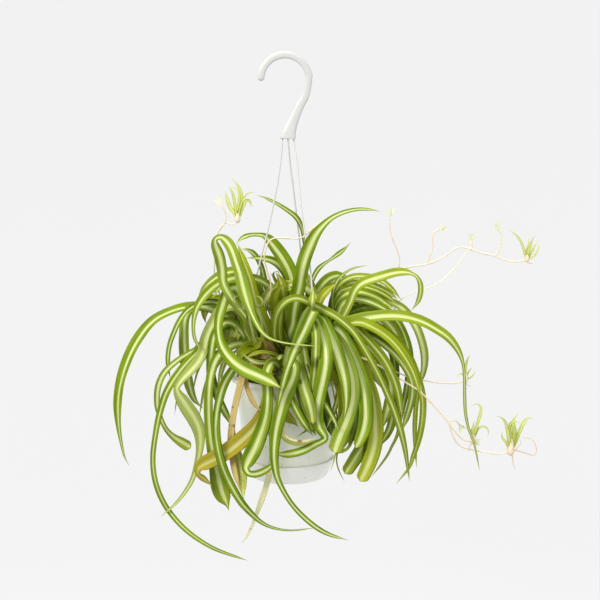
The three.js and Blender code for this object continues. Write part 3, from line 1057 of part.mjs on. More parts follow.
function backLeaves(crown) {
  const draw = randomFrom(SEED);
  const spots = WIRES.flatMap((wire) => (
    new THREE.CatmullRomCurve3(wireLine(wire)).getSpacedPoints(WIRE_SAMPLES)));
  const leaves = [];
  for (let i = 0; i < BACK_DRAWS; i += 1) {
    const slot = ((i + draw(0.1, 0.9)) * 5 / BACK_DRAWS) % 1;
    const azimuth = THREE.MathUtils.lerp(BACK_SPREAD[0], BACK_SPREAD[1], slot);
    const reach = draw(...BACK_REACH);
    const width = draw(...BACK_WIDTH);
    const frames = backFrames(crown, azimuth, reach, width, draw(...BACK_RISE));
    if (clearOfWires(frames, spots) && clearOfPot(frames)) leaves.push(frames);
  }
  return leaves;
}

function makeCore(crown) {
  const radius = coreRadius(crown);
  const geometry = new THREE.CylinderGeometry(radius * 0.8, radius, CORE_TOP_Z - SOIL_Z - 3, CORE_SIDES);
  geometry.rotateX(Math.PI / 2);
  geometry.translate(crown.x, crown.y, (CORE_TOP_Z + SOIL_Z + 3) / 2);
  const stump = upright(radius, CORE_BOTTOM_Z, SOIL_Z + 3.5, CORE_SIDES, crown.x, crown.y);
  return closedMesh(geometry).add(stump);
}

function makeCrown(crown, routes, extra) {
  const blades = routes.map((route) => (
    blade(leafFrames(route), STATION_STEP, STATION_BEND, BLADE_THICKNESS)));
  const others = extra.map((frames) => blade(frames, BACK_STEP, BACK_BEND, BLADE_THICKNESS));
  return join([makeCore(crown), ...blades, ...others]);
}

// Stalks and plantlets

const STALK_SIDES = 5;
const STALK_STEP = 16;

function tube(places, radii) {
  let side = new THREE.Vector3(0, 1, 0);
  const rings = places.map((place, i) => {
    const before = places[Math.max(i - 1, 0)];
    const way = places[Math.min(i + 1, places.length - 1)].clone().sub(before).normalize();
    side = side.clone().addScaledVector(way, -side.dot(way)).normalize();
    const other = new THREE.Vector3().crossVectors(way, side);
    return Array.from({ length: STALK_SIDES }, (_, j) => {
      const angle = (j / STALK_SIDES) * Math.PI * 2;
      return place.clone().addScaledVector(side, radii[i] * Math.cos(angle))
        .addScaledVector(other, radii[i] * Math.sin(angle));
    });
  });
  return loft(rings);
}

function thinned(samples, step) {
  const keep = Math.max(1, Math.round(step / SAMPLE_STEP));
  return samples.filter((_, i) => i % keep === 0 || i === samples.length - 1);
}

function makeStalk(item, route) {
  const places = thinned(route.samples, STALK_STEP).map((values) => (
    fromView(values[0], values[1], values[2])));
  places[0] = new THREE.Vector3(item.foot[0], item.foot[1], STALK_FOOT_Z);
  places.splice(1, 0, new THREE.Vector3(item.foot[0], item.foot[1], SOIL_Z + 4));
  const kept = places.filter((place, i) => i < 2 || place.z > SOIL_Z + 8 || i > 3);
  const radii = kept.map((_, i) => item.radius * (1 - 0.25 * i / kept.length));
  const solids = [tube(kept, radii)];
  for (const branch of BRANCHES.filter((each) => each.on === item.name)) {
    const line = branchLine(branch, route);
    solids.push(tube(line, line.map((_, i) => branch.radius * (1 - 0.35 * i / line.length))));
  }
  const bases = PLANTLETS.map((each) => plantletBase(each.base, GAP));
  return mainBody(bases.reduce((all, base) => all.subtract(base), join(solids)));
}

// A branch leaves its stalk at the stalk's own depth and ends at the branch's.
function branchLine({ points, depth }, route) {
  const [across, down] = points[0];
  const distance = (values) => Math.hypot(values[0] - across, values[1] - down);
  const near = route.samples.reduce((best, each) => (distance(each) < distance(best) ? each : best));
  return points.map(([a, d], i) => (
    fromView(a, d, THREE.MathUtils.lerp(near[2], depth, i / (points.length - 1)))));
}

function plantletBase([across, down, depth, width], margin = 0) {
  const centre = fromView(across, down, depth);
  const radius = width * viewScale(centre) / 2;
  const heights = [-radius * 1.2 - margin, 0, radius * 1.6 + margin];
  const widths = [radius * 0.5 + margin, radius + margin * 1.25, radius * 0.7 + margin];
  return tube(heights.map((z) => centre.clone().add(new THREE.Vector3(0, 0, z))), widths);
}

function plantletLeaf(item, [across, down, depth, width]) {
  const traced = item.points.map(([a, d, w], i) => (
    [a, d, spread(item.depths, i / (item.points.length - 1)), w]));
  const { samples } = evenly(smooth([[across, down, depth, width * 0.6], ...traced]), SAMPLE_STEP / 2);
  return leafFrames({ samples, tilt: 0 });
}

function makePlantlet({ base, leaves, roots }) {
  const solids = [plantletBase(base)];
  for (const item of leaves) {
    solids.push(blade(plantletLeaf(item, base), STATION_STEP * 0.6, STATION_BEND, BLADE_THICKNESS * 0.8));
  }
  for (const line of roots) {
    const places = [fromView(base[0], base[1], base[2]), ...line.map((p) => fromView(...p))];
    solids.push(tube(places, places.map((_, i) => 0.9 - 0.3 * i / places.length)));
  }
  return join(solids);
}

// Assembly

const HOOK_COLOUR = 0xeef0ee;
const WIRE_COLOUR = 0xe6e8e6;
const POT_COLOUR = 0xe2e6e3;
const SAUCER_COLOUR = 0xeceeec;
const SOIL_COLOUR = 0x4a3626;
const STALK_COLOUR = 0xdcc38a;
const PLANTLET_COLOUR = 0x9cc04a;

const leafRoutes = Object.entries(CROWNS).flatMap(([group, crown]) => (
  crown.leaves.map((item) => leafRoute(item, crown, group))));
const stalkRoutes = STALKS.map(stalkRoute);
settle([...leafRoutes, ...stalkRoutes, ...WIRES.map(wireRoute)]);

const plant = new THREE.Group();
plant.add(piece('hook', toGeometry(makeHook()), HOOK_COLOUR, 0.4));
for (const wire of WIRES) plant.add(piece(wire.name, toGeometry(makeWire(wire)), WIRE_COLOUR, 0.4));
plant.add(piece('pot', toGeometry(makePot()), POT_COLOUR, 0.35));
plant.add(piece('saucer', toGeometry(makeSaucer()), SAUCER_COLOUR, 0.3));
plant.add(piece('soil', toGeometry(makeSoil()), SOIL_COLOUR, 0.95));
for (const [group, crown] of Object.entries(CROWNS)) {
  const routes = leafRoutes.filter((route) => route.group === group);
  const extra = group === 'centre' ? backLeaves(crown) : [];
  plant.add(piece(`leaves_${group}`, toGeometry(makeCrown(crown, routes, extra)), crown.colour, 0.5));
}
STALKS.forEach((item, i) => {
  plant.add(piece(item.name, toGeometry(makeStalk(item, stalkRoutes[i])), STALK_COLOUR, 0.55));
});
for (const item of PLANTLETS) {
  plant.add(piece(item.name, toGeometry(makePlantlet(item)), PLANTLET_COLOUR, 0.5));
}

export default plant;
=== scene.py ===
"""A spider plant in a white plastic hanging pot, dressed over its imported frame.

The leaves follow the same routes as the frame's solids: a route is a list of places across and down
in a view 600 units wide, with a depth for each, and leaves that would meet are moved apart in depth.
"""
from functools import lru_cache
from math import cos, pi, radians, sin, sqrt, tan

import bpy
import numpy as np
from bpy.props import FloatProperty, FloatVectorProperty, PointerProperty
from bpy.types import NodeSocket, Operator, Panel, PropertyGroup
from mathutils import Euler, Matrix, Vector, noise


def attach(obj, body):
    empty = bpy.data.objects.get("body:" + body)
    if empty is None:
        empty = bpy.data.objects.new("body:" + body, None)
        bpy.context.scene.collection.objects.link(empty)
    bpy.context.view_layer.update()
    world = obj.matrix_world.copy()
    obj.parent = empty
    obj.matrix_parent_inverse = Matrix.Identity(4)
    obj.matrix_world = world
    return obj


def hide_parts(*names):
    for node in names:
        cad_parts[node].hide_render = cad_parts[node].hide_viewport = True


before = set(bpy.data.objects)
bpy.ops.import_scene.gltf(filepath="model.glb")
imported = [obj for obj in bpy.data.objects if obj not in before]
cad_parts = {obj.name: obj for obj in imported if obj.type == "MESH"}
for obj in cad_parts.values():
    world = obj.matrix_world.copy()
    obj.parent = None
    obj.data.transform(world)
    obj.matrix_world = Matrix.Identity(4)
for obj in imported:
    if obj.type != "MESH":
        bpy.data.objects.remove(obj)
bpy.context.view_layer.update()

bl_info = {
    "name": "Hanging Spider Plant",
    "version": (1, 0, 0),
    "blender": (4, 5, 0),
    "location": "View3D > Sidebar > Plant",
    "description": "Builds a potted spider plant with its hanging pot, runners and plantlets",
    "category": "Object",
}

MM = 0.001
GAP = 0.3
# The length along a leaf or stalk that is one unit of its map, in millimetres
MAP_UNIT = 100
# The gap under which corners are merged, in metres
MERGE_BELOW = 1e-5

# The hook and its block, in millimetres
HOOK_INNER_RADIUS = 26
HOOK_BAND = 9
HOOK_DEPTH = 6
HOOK_SIDES = 24
HOOK_SQUARENESS = 0.75
HOOK_TIP_ROUNDING = 4
BLOCK_X = 3.9
BLOCK_Z = -101
BLOCK_WIDTH = 20
BLOCK_DEPTH = 9

# The wires
WIRE_RADIUS = 1.1
WIRE_SPACING = 7.2
WIRE_SOCKET = 8
WIRE_STRAIGHT = 3
WIRE_SIDES = 12
WIRE_SAMPLES = 60
WIRE_HOLE_RADIUS = 72.4
WIRE_HOLE_ROOM = 0.6
HOLE_SIDES = 24
BEAD_RADIUS = 2.5
BEAD_HEIGHT = 3
BEAD_SIDES = 20

# The pot, the saucer and the soil
POT_X = 3.4
POT_STEPS = 128
RIM_Z = -409
RIM_RADIUS = 75.5
RIM_WIDTH = 6.5
RIM_THICKNESS = 4
RIM_UNDER_Z = RIM_Z - RIM_THICKNESS
WALL = 2
WALL_TOP_RADIUS = RIM_RADIUS - RIM_WIDTH
WALL_LOW_RADIUS = 58.4
SAUCER_RIM_Z = -517.5
SAUCER_RIM_RADIUS = 61.5
SAUCER_WALL = 1.8
SAUCER_BASE_RADIUS = 52
BOTTOM_Z = -543
POT_FOOT_RADIUS = 49.4
POT_FOOT_Z = BOTTOM_Z + SAUCER_WALL + GAP
ROUNDED_BEYOND = radians(35)
SMOOTH_BELOW = radians(40)
SOIL_Z = -413
SOIL_RISE = 1.5
SOIL_RING = 2
# The soil's uneven top: [size, rise]
SOIL_BUMPS = ((9, 1.6), (3.1, 0.9))
SOIL_PEAK = 1.4
CRUMBS = 260
CRUMB_SIZE = (0.8, 2.4)
CRUMB_SQUASH = (0.7, 1.2)
CRUMB_ROUGHNESS = 0.18
CRUMB_INSET = 8
CRUMB_RISE = 2
CRUMB_SEED = 5

# Where the leaves and stalks start
CORE_RADIUS = 11
DRY_CORE_RADIUS = 5
CORE_SIDES = 24
ROOT_INSET = (3, 7)
ROOT_HEIGHT = (-406, -392)
ROOT_WIDTH = (7, 9)
STALK_FOOT_Z = SOIL_Z - 12
STALK_FOOT_RISES = (2, 16)
STALK_SEEN_WIDTH = 1.6

# How leaves are sampled and moved apart
SAMPLE_STEP = 8
FEWEST_STEPS = 4
FINE_STEPS = 6
RELAX_ROUNDS = 160
MM_PER_STEP = 1.3
TILT = radians(36)
TILT_ROOM = 0.75
CLEARANCE = 4
NODE_CLEARANCE = 5.2
SIDE_CLEARANCE = 2
LEAST_REACH = SAMPLE_STEP * 0.85
PLAIN_ORDER = 25
ROOT_FREE = 45
ROOT_HELD = 12
ROOT_EASING = 70
END_EASING = 50
DRAG = 0.2
RIM_CLEARANCE = 10
POT_CLEARANCE = 6
POT_LEAN_ROOM = 0.6

# The shape of a blade
BLADE_CELLS = 8
BLADE_REFINE = 3
BLADE_CHANNEL = 0.19
BLADE_THICKNESS = 1.1
WIDTH_SWELL = 1.08
DRY_SHRINK = 0.82
DRY_THICKNESS = 0.9
DRY_CHANNEL = 0.12
DRY_RUFFLE = 1.2
YOUNG_SHRINK = 0.82
THINNEST_HALF = 0.8
LEAST_HALF = 0.3
TIP_TAPER = 16
BLUNT_TAPER = 4
BLUNT_WIDTH = 6.5
THIN_END = 25
CURVE_ROOM = 0.85
SETTLED_SHARE = 0.6
# The waves of a blade's two edges, two for each: [length of a radian, share]
RIPPLES = ((19, 0.6), (7.7, 0.4), (23, 0.6), (9.1, 0.4))
RUFFLED_HALF = 6
TURN = 6.28

# Stalks, their joints, and the small leaves on them
TUBE_SIDES = 10
JOINT_SWELL = 0.55
STALK_TAPER = 0.25
BRANCH_TAPER = 0.35
JOINT_START = (26, 34)
JOINT_STEP = (22, 30)
TUFT_REACH = (9, 13)
TUFT_SPREADS = (-0.6, -0.1, 0.45)
TUFT_HALVES = np.array([0.9, 1.5, 1.7, 1.6, 1.3, 0.9, 0.4])
BRACT_LENGTH = 8
BRACT_HALVES = np.array([1.3, 1.5, 1.3, 1.0, 0.6, 0.3])
SMALL_THICKNESS = 0.4
YOUNG_THICKNESS = 0.7
ROOT_THICKNESS = (0.9, 0.5)
BASE_SIDES = 16

# The view of the routes
EYE = np.array([19.1, -1797.6, -24.7])
VIEW_FOCAL = 1400
VIEW_CENTRE = 300
VIEW_PITCH = radians(9)
VIEW_WIDTH = 600
SENSOR_MM = 36

# Colours, as linear red, green and blue
CREAM = (0.80, 0.85, 0.42)
LIGHT_GREEN = (0.28, 0.42, 0.010)
DEEP_GREEN = (0.070, 0.138, 0.001)
OLIVE = (0.41, 0.42, 0.012)
AMBER = (0.40, 0.245, 0.012)
UNDERSIDE = (0.52, 0.57, 0.20)
YOUNG_CREAM = (0.84, 0.88, 0.42)
YOUNG_LIGHT = (0.66, 0.78, 0.06)
YOUNG_DEEP = (0.42, 0.58, 0.02)
DRY_LIGHT = (0.64, 0.54, 0.20)
DRY_DARK = (0.42, 0.27, 0.04)
DRY_SPOT = (0.10, 0.05, 0.012)
DRY_PALE = (0.68, 0.68, 0.38)
BUD_PALE = (0.86, 0.90, 0.60)
STRAW_LIGHT = (0.86, 0.82, 0.62)
STRAW_DARK = (0.76, 0.58, 0.36)
POT_WHITE = (0.91, 0.92, 0.83)
POT_DUSTY = (0.83, 0.84, 0.72)
POT_SPECK = (0.10, 0.085, 0.04)
SAUCER_WHITE = (0.93, 0.93, 0.89)
SAUCER_DUSTY = (0.90, 0.90, 0.83)
HOOK_WHITE = (0.585, 0.58, 0.56)
HOOK_DUSTY = (0.54, 0.53, 0.505)
WIRE_DUSTY = (0.60, 0.60, 0.57)
SOIL_DARK = (0.035, 0.018, 0.009)
SOIL_LIGHT = (0.11, 0.06, 0.03)
SOIL_STRAW = (0.22, 0.14, 0.07)
STAGE_WHITE = (0.25, 0.25, 0.25)

# The stage, in metres, and its lights: [name, place, share of the power, size]
STAGE_RADIUS = 2.6
STAGE_CORNER = 1.2
STAGE_TOP = 1.6
STAGE_STEPS = 64
STAGE_GLOW = 0.665
LIGHT_AIM = Vector((0, 0, -0.38))
LIGHTS = (
    ("Key", (-1.3, -1.5, 1.2), 1.0, 1.2),
    ("Fill", (1.6, -1.2, 0.3), 0.2, 1.6),
    ("Top", (-0.2, 0.3, 1.7), 0.5, 1.3),
)

# The leaves at the back, which the view doesn't show, follow a seeded rule.
BACK_SEED = 41
BACK_DRAWS = 24
BACK_SPREAD = (14, 166)
BACK_REACH = (150, 330)
BACK_WIDTH = (12, 18)
BACK_RISE = (0.7, 1.35)
BACK_FALL = -1.35
BACK_WIRE_ROOM = 5
BACK_POT_ROOM = 3
BACK_RIM_ROOM = 8
BACK_NECK = 6
BACK_LEAN = 0.3
BACK_ROUNDS = 5

# A leaf's look is its [width of the cream stripe, share of yellow, share of painted shade, share of
# paleness], and a dry leaf's is [how bleached, share of the darker straw, share of dark spots, 0].
PLAIN_TONE = (0.42, 0.12, 0.22, 0)
CORE_TONE = (0, 0.45, 0.6, 0.1)
YOUNG_TONE = (0.50, 0.25, 0, 0.12)
TUFT_TONE = (1, 0, 0, 0)
BROWN_TONE = (0, 0.9, 0.1, 0)
BASE_TONE = (0, 0.5, 0, 0)
TONE_SEED = 7
STALK_SEED = TONE_SEED + 100
PLANTLET_SEED = TONE_SEED + 200
STRIPE_SCALE = 0.54
OLDEST_GREEN = 0.78
TIP_AGE = 0.35
ROOT_AGE = 0.25
ROOT_PALE = 0.15
OLD_ROOT = 60


def path(depths, *points):
    """The depths are spread evenly over the points, each [across, down] and, for a leaf, its width."""
    return {"depths": depths, "points": points}


def leaf(name, tone, depths, *points):
    """A leaf's tone is its look, or None where it looks like most of them."""
    return {"name": name, "tone": tone, **path(depths, *points)}


def stalk(name, foot, radius, tint, depths, *points):
    """A stalk stands in the soil at foot, and its tint is its share of the darker straw colour."""
    return {"name": name, "foot": foot, "radius": radius, "tint": tint, **path(depths, *points)}


LEFT_LEAVES = [
  leaf("far_left_arch", [0.3, 0.1, 0.15, 0], [16, 4, -6, -10], [243, 324, 9], [217, 309, 9.5],
    [190, 306, 8.5], [170, 311, 7.5], [152, 321, 8.5], [138, 338, 9.5], [127, 359, 9.5], [120, 382, 8.5],
    [117.3, 405, 7.5], [119, 430, 4], [124, 455, 2], [129.5, 466, 1]),
  leaf("left_hairpin", [0.3, 0.05, 0.3, 0], [-20, -36, -46], [246, 322, 6], [222, 304, 6], [204, 302, 6],
    [190, 308, 5], [181, 318, 5], [174.5, 331, 5], [169.5, 345, 4.8], [167.8, 358, 4.4], [168.3, 368, 3.2],
    [170.5, 379, 1]),
  leaf("left_upright", [0.4, 0.05, 0.2, 0.1], [-12, -24, -26], [244, 328, 9], [222, 313, 9], [203, 306, 9],
    [191, 307.5, 8.5], [185, 318, 8.5], [184, 332, 9], [184, 347, 9.5], [185.5, 365, 9.5], [189, 385, 8.5],
    [194.5, 400, 5], [203.5, 408.5, 1.2]),
  leaf("left_loop_behind", None, [10, 0, -6], [262, 310, 9], [256, 288, 9], [247, 276, 9], [234, 271, 9],
    [222, 274, 8], [211, 281, 7], [203, 290, 5], [197, 301, 2]),
  leaf("left_sweep", [0.46, 0.1, 0.15, 0], [-22, -50, -78, -96, -116], [246, 322, 11], [243, 300, 11],
    [236, 288, 10.5], [227.5, 292, 10], [222.5, 305, 10], [219, 318, 9], [218.5, 332, 8], [222, 346, 10],
    [231, 359, 12], [243, 368.5, 13.5], [257, 375, 13.5], [270, 381, 11], [281, 388, 4]),
  leaf("left_inner_drop", [0.4, 0, 0.4, 0], [-30, -54, -76, -84], [240, 330, 9], [226, 322, 9],
    [215, 334, 8.5], [211.3, 351, 8], [210.5, 366, 8], [212, 380, 8.5], [216, 393, 8], [222, 406, 7],
    [228, 418, 6], [231, 426, 4]),
  leaf("pale_drop", [0.5, 0.16, 0.2, 0.42], [-28, -46, -56, -62, -66, -68], [247, 325, 9], [236, 307, 9.5],
    [222, 309, 10], [212, 325, 10.5], [206, 338, 10.5], [203, 350, 10], [198, 361, 10], [189, 371.5, 9.5],
    [180.5, 381, 7], [176.5, 389.5, 6], [181, 398, 11], [187, 407.5, 13.5], [193.5, 417.5, 13.5],
    [198.5, 429, 12], [200, 441, 9], [198.5, 456, 6], [192, 480, 4.6], [178, 501, 3], [161, 516.5, 1]),
  leaf("long_left_tail", [0.28, 0.15, 0.2, 0], [-24, -50, -70, -84, -92], [246, 336, 7], [228, 326, 7],
    [213, 335, 7], [203, 346, 6.5], [183, 367, 7.5], [168, 389, 7], [160.3, 411, 6], [155.5, 434, 5.3],
    [152.8, 460, 5], [156, 484, 5.2], [166.5, 507.5, 5], [186, 530, 4.6], [212, 547.5, 3.6], [240, 558, 2],
    [248, 560.5, 1]),
  leaf("left_hook", None, [-18, -40, -50, -58], [248, 338, 6], [230, 334, 6], [213, 341, 5.5],
    [200, 347.5, 5], [187, 354, 5], [174, 363, 5.5], [164, 373, 6.2], [158.5, 385, 6.2], [157, 397, 5.8],
    [157.7, 408, 5.2], [161, 419, 4.5], [166, 429, 4.5], [173, 436.5, 6], [182, 442.5, 9], [191, 448, 9.5]),
  leaf("wide_left_drop", [0.45, 0.14, 0.24, 0.02], [-36, -66, -86, -92], [248, 345, 9], [232, 345, 9],
    [218, 356, 9], [211.5, 372, 8.5], [209, 388, 8], [208.3, 402, 8.5], [208.5, 417, 8.5], [209.5, 432, 8.5],
    [211.5, 447, 9.5], [214.5, 461, 11.5], [217.5, 474, 15], [220, 486, 17], [223, 496, 14.5],
    [226.5, 503, 8.5], [229, 511, 2]),
  leaf("front_left_long", [0.34, 0.05, 0.45, 0], [-44, -76, -100, -112, -118, -120], [250, 349, 8],
    [240, 360, 8], [228, 376.5, 8.5], [222.5, 388, 8.5], [219.3, 400, 8], [217, 412, 7.5], [216, 425, 8],
    [216.5, 438, 8.3], [219, 453, 8.3], [223, 467, 8.3], [229, 481, 8], [237, 495.5, 7.5], [246, 508, 6.5],
    [264, 524, 3.5], [287, 530.3, 1.8], [315, 528, 1]),
  leaf("tall_fold", [0.42, 0.1, 0.05, 0.1], [-26, -48, -60, -74, -88, -96], [250, 325, 8], [233, 301, 8],
    [223.5, 284, 8.5], [222, 270, 9.5], [219.5, 257, 10], [216, 247, 9], [214.5, 240.5, 5.5],
    [220, 236.8, 5.5], [227, 241.5, 9.5], [232, 250, 10], [236, 261, 10.5], [240, 273, 11],
    [243.5, 287, 12.5], [247, 299, 11.5], [251, 311, 7.5], [255.5, 321, 5.5], [260.5, 330, 4.5],
    [267.5, 337, 2.8], [277, 341, 2.2], [291, 343.8, 1.8], [320, 346.6, 1]),
  leaf("inner_pale", [0.6, 0.45, 0.1, 0.3], [-4, -16, -20], [254, 332, 9], [243, 319, 10], [236, 330, 12],
    [231, 341, 11], [227, 352, 8], [224, 362, 4]),
  leaf("inner_olive", [0.3, 0.6, 0.2, 0], [4, -6, -10], [246, 326, 8], [226, 303, 8], [211, 299, 8],
    [205.5, 308, 8], [204.5, 318, 5], [206.5, 324, 1.5]),
  leaf("left_thin_tip", None, [-30, -34], [240, 312, 3.5], [222, 287, 3.5], [216, 293.5, 3], [211, 299.5, 1]),
  leaf("curl_left", [0, 0.35, 0, 0.75], [-40, -60, -62], [252, 330, 2], [247, 309.5, 2], [242, 308.5, 2],
    [237, 305.5, 2], [233.8, 301, 2], [235, 296.5, 2], [240, 295.5, 1.4]),
  leaf("curl_right", [0, 0.35, 0, 0.75], [-40, -62, -64], [262, 325, 2], [256.5, 307.5, 2], [260.5, 306, 2],
    [262.7, 301.5, 2], [260, 297.3, 2], [253, 295.5, 1.4]),
]

CENTRE_LEAVES = [
  leaf("high_right_arch", [0.46, 0.05, 0.2, 0], [6, -22, -46, -56, -60], [288, 338, 10], [291.8, 325, 11],
    [293.3, 312, 11.5], [295.7, 299, 12.5], [298.7, 286, 12.8], [301, 273, 12.5], [304.5, 259, 12.5],
    [309.5, 246, 12], [315.5, 234.5, 9.8], [323, 225.3, 7], [331.5, 218, 5], [341.5, 213, 4.2],
    [352, 210, 3.6], [363, 209, 3], [373, 210, 2], [381, 211.7, 1]),
  leaf("left_loop", None, [14, -6, -27, -45, -52], [284, 320, 8], [279, 299, 8], [270, 286.5, 8],
    [260, 280, 7.5], [250, 277.5, 8], [241, 277, 9], [231, 278.3, 9.5], [219, 283, 9.5], [209, 290.5, 9],
    [201, 300, 8], [195.5, 311, 6], [193.3, 325, 3.5], [194.3, 337, 3.2], [198.5, 346, 2.6],
    [205, 350.5, 1.5]),
  leaf("upper_left_arch", [0.46, 0.1, 0.1, 0], [22, 24, 22, 18, 12], [290, 325, 9], [294, 300, 10],
    [293.5, 284, 12], [289.7, 270, 12.8], [282.7, 257, 12.8], [275.5, 247, 12], [269.7, 240, 9.5],
    [264, 235.5, 5], [254, 234.5, 3.5], [246, 236, 4.5], [240, 239.5, 3.8], [236, 244.5, 1.5]),
  leaf("olive_riser", [0.2, 0.55, 0, 0], [4, -14, -14, -8, 0], [271, 341, 10], [267, 329, 12], [262, 317, 12],
    [257.5, 306, 11], [254.3, 294, 9], [251.5, 282, 7.5], [248, 272, 7], [244.3, 262, 6], [240.5, 252, 5],
    [238, 244, 3]),
  leaf("upper_left_low", None, [30, 34, 30, 24], [289, 318, 8], [293, 297, 8], [290, 281, 9],
    [284, 269.5, 9.5], [276.5, 262.5, 8.5], [268, 259, 6.5], [257, 257.9, 4], [246, 258, 2]),
  leaf("small_back_arch", None, [34, 30, 26], [276, 320, 5], [268, 294, 5], [262.5, 270, 5], [257.5, 258, 5],
    [252, 252, 5], [246, 249.3, 4], [241.5, 249, 2]),
  leaf("pale_low_arch", [0.6, 0.3, 0, 0.2], [10, -6, -16, -18], [270, 336, 8], [263, 322, 8.5],
    [262.5, 309, 9], [265.5, 299, 10], [272, 291, 10], [281, 286.8, 10], [292, 285.3, 10], [303, 286.3, 10],
    [311, 290.5, 9], [317, 298, 7], [320.5, 308, 3]),
  leaf("centre_arch", [0.3, 0.25, 0.3, 0], [-30, -62, -76, -88, -98, -104], [276, 342, 6.5],
    [274.3, 330, 6.5], [276, 316, 7], [281.5, 305.5, 7.5], [289.5, 299.3, 7], [299, 298, 7], [311, 303, 7],
    [323, 309, 7.5], [335, 315.5, 7.5], [346, 324, 7.5], [356, 335, 6.5], [371, 360, 6], [385, 388.5, 6.5],
    [396.5, 417, 7], [404.5, 446, 5], [409.5, 481, 1.5]),
  leaf("left_flyer", [0.32, 0.1, 0.25, 0], [26, 30, 26, 20], [296, 320, 5], [300, 296, 5], [305, 272, 5],
    [306.5, 255, 5], [304.5, 240, 4.5], [302, 228, 4.5], [296.5, 217.5, 5], [287, 210, 4], [275, 202.5, 3],
    [265, 197.8, 2], [256.5, 195, 1]),
  leaf("right_flyer", None, [22, 16, 8], [303, 318, 4], [308, 292, 4], [314.5, 275, 4.5], [320, 267, 4.5],
    [329, 260.5, 2.5], [338, 254, 4.5], [345, 248.5, 3], [351, 242, 1]),
  leaf("thin_back_tip", None, [26, 22], [272, 318, 3], [264, 298, 3], [260.7, 278, 2.5], [261, 264, 1]),
  leaf("short_back_tip", None, [20, 16], [285, 318, 4], [281, 291, 4], [275, 280, 4], [270.5, 272.5, 1.5]),
  leaf("right_stub", None, [14, 2, -2], [306, 328, 8], [310, 308, 8.5], [316, 294, 9], [322, 284.5, 9.5],
    [329, 278, 9.5], [336, 275.3, 8.5], [343, 275.5, 6], [349, 278, 2]),
  leaf("inner_dark", [0.3, 0.45, 0.3, 0], [8, -10], [281, 342, 6], [279.5, 330, 6], [280.5, 317, 6],
    [284, 306, 3]),
]

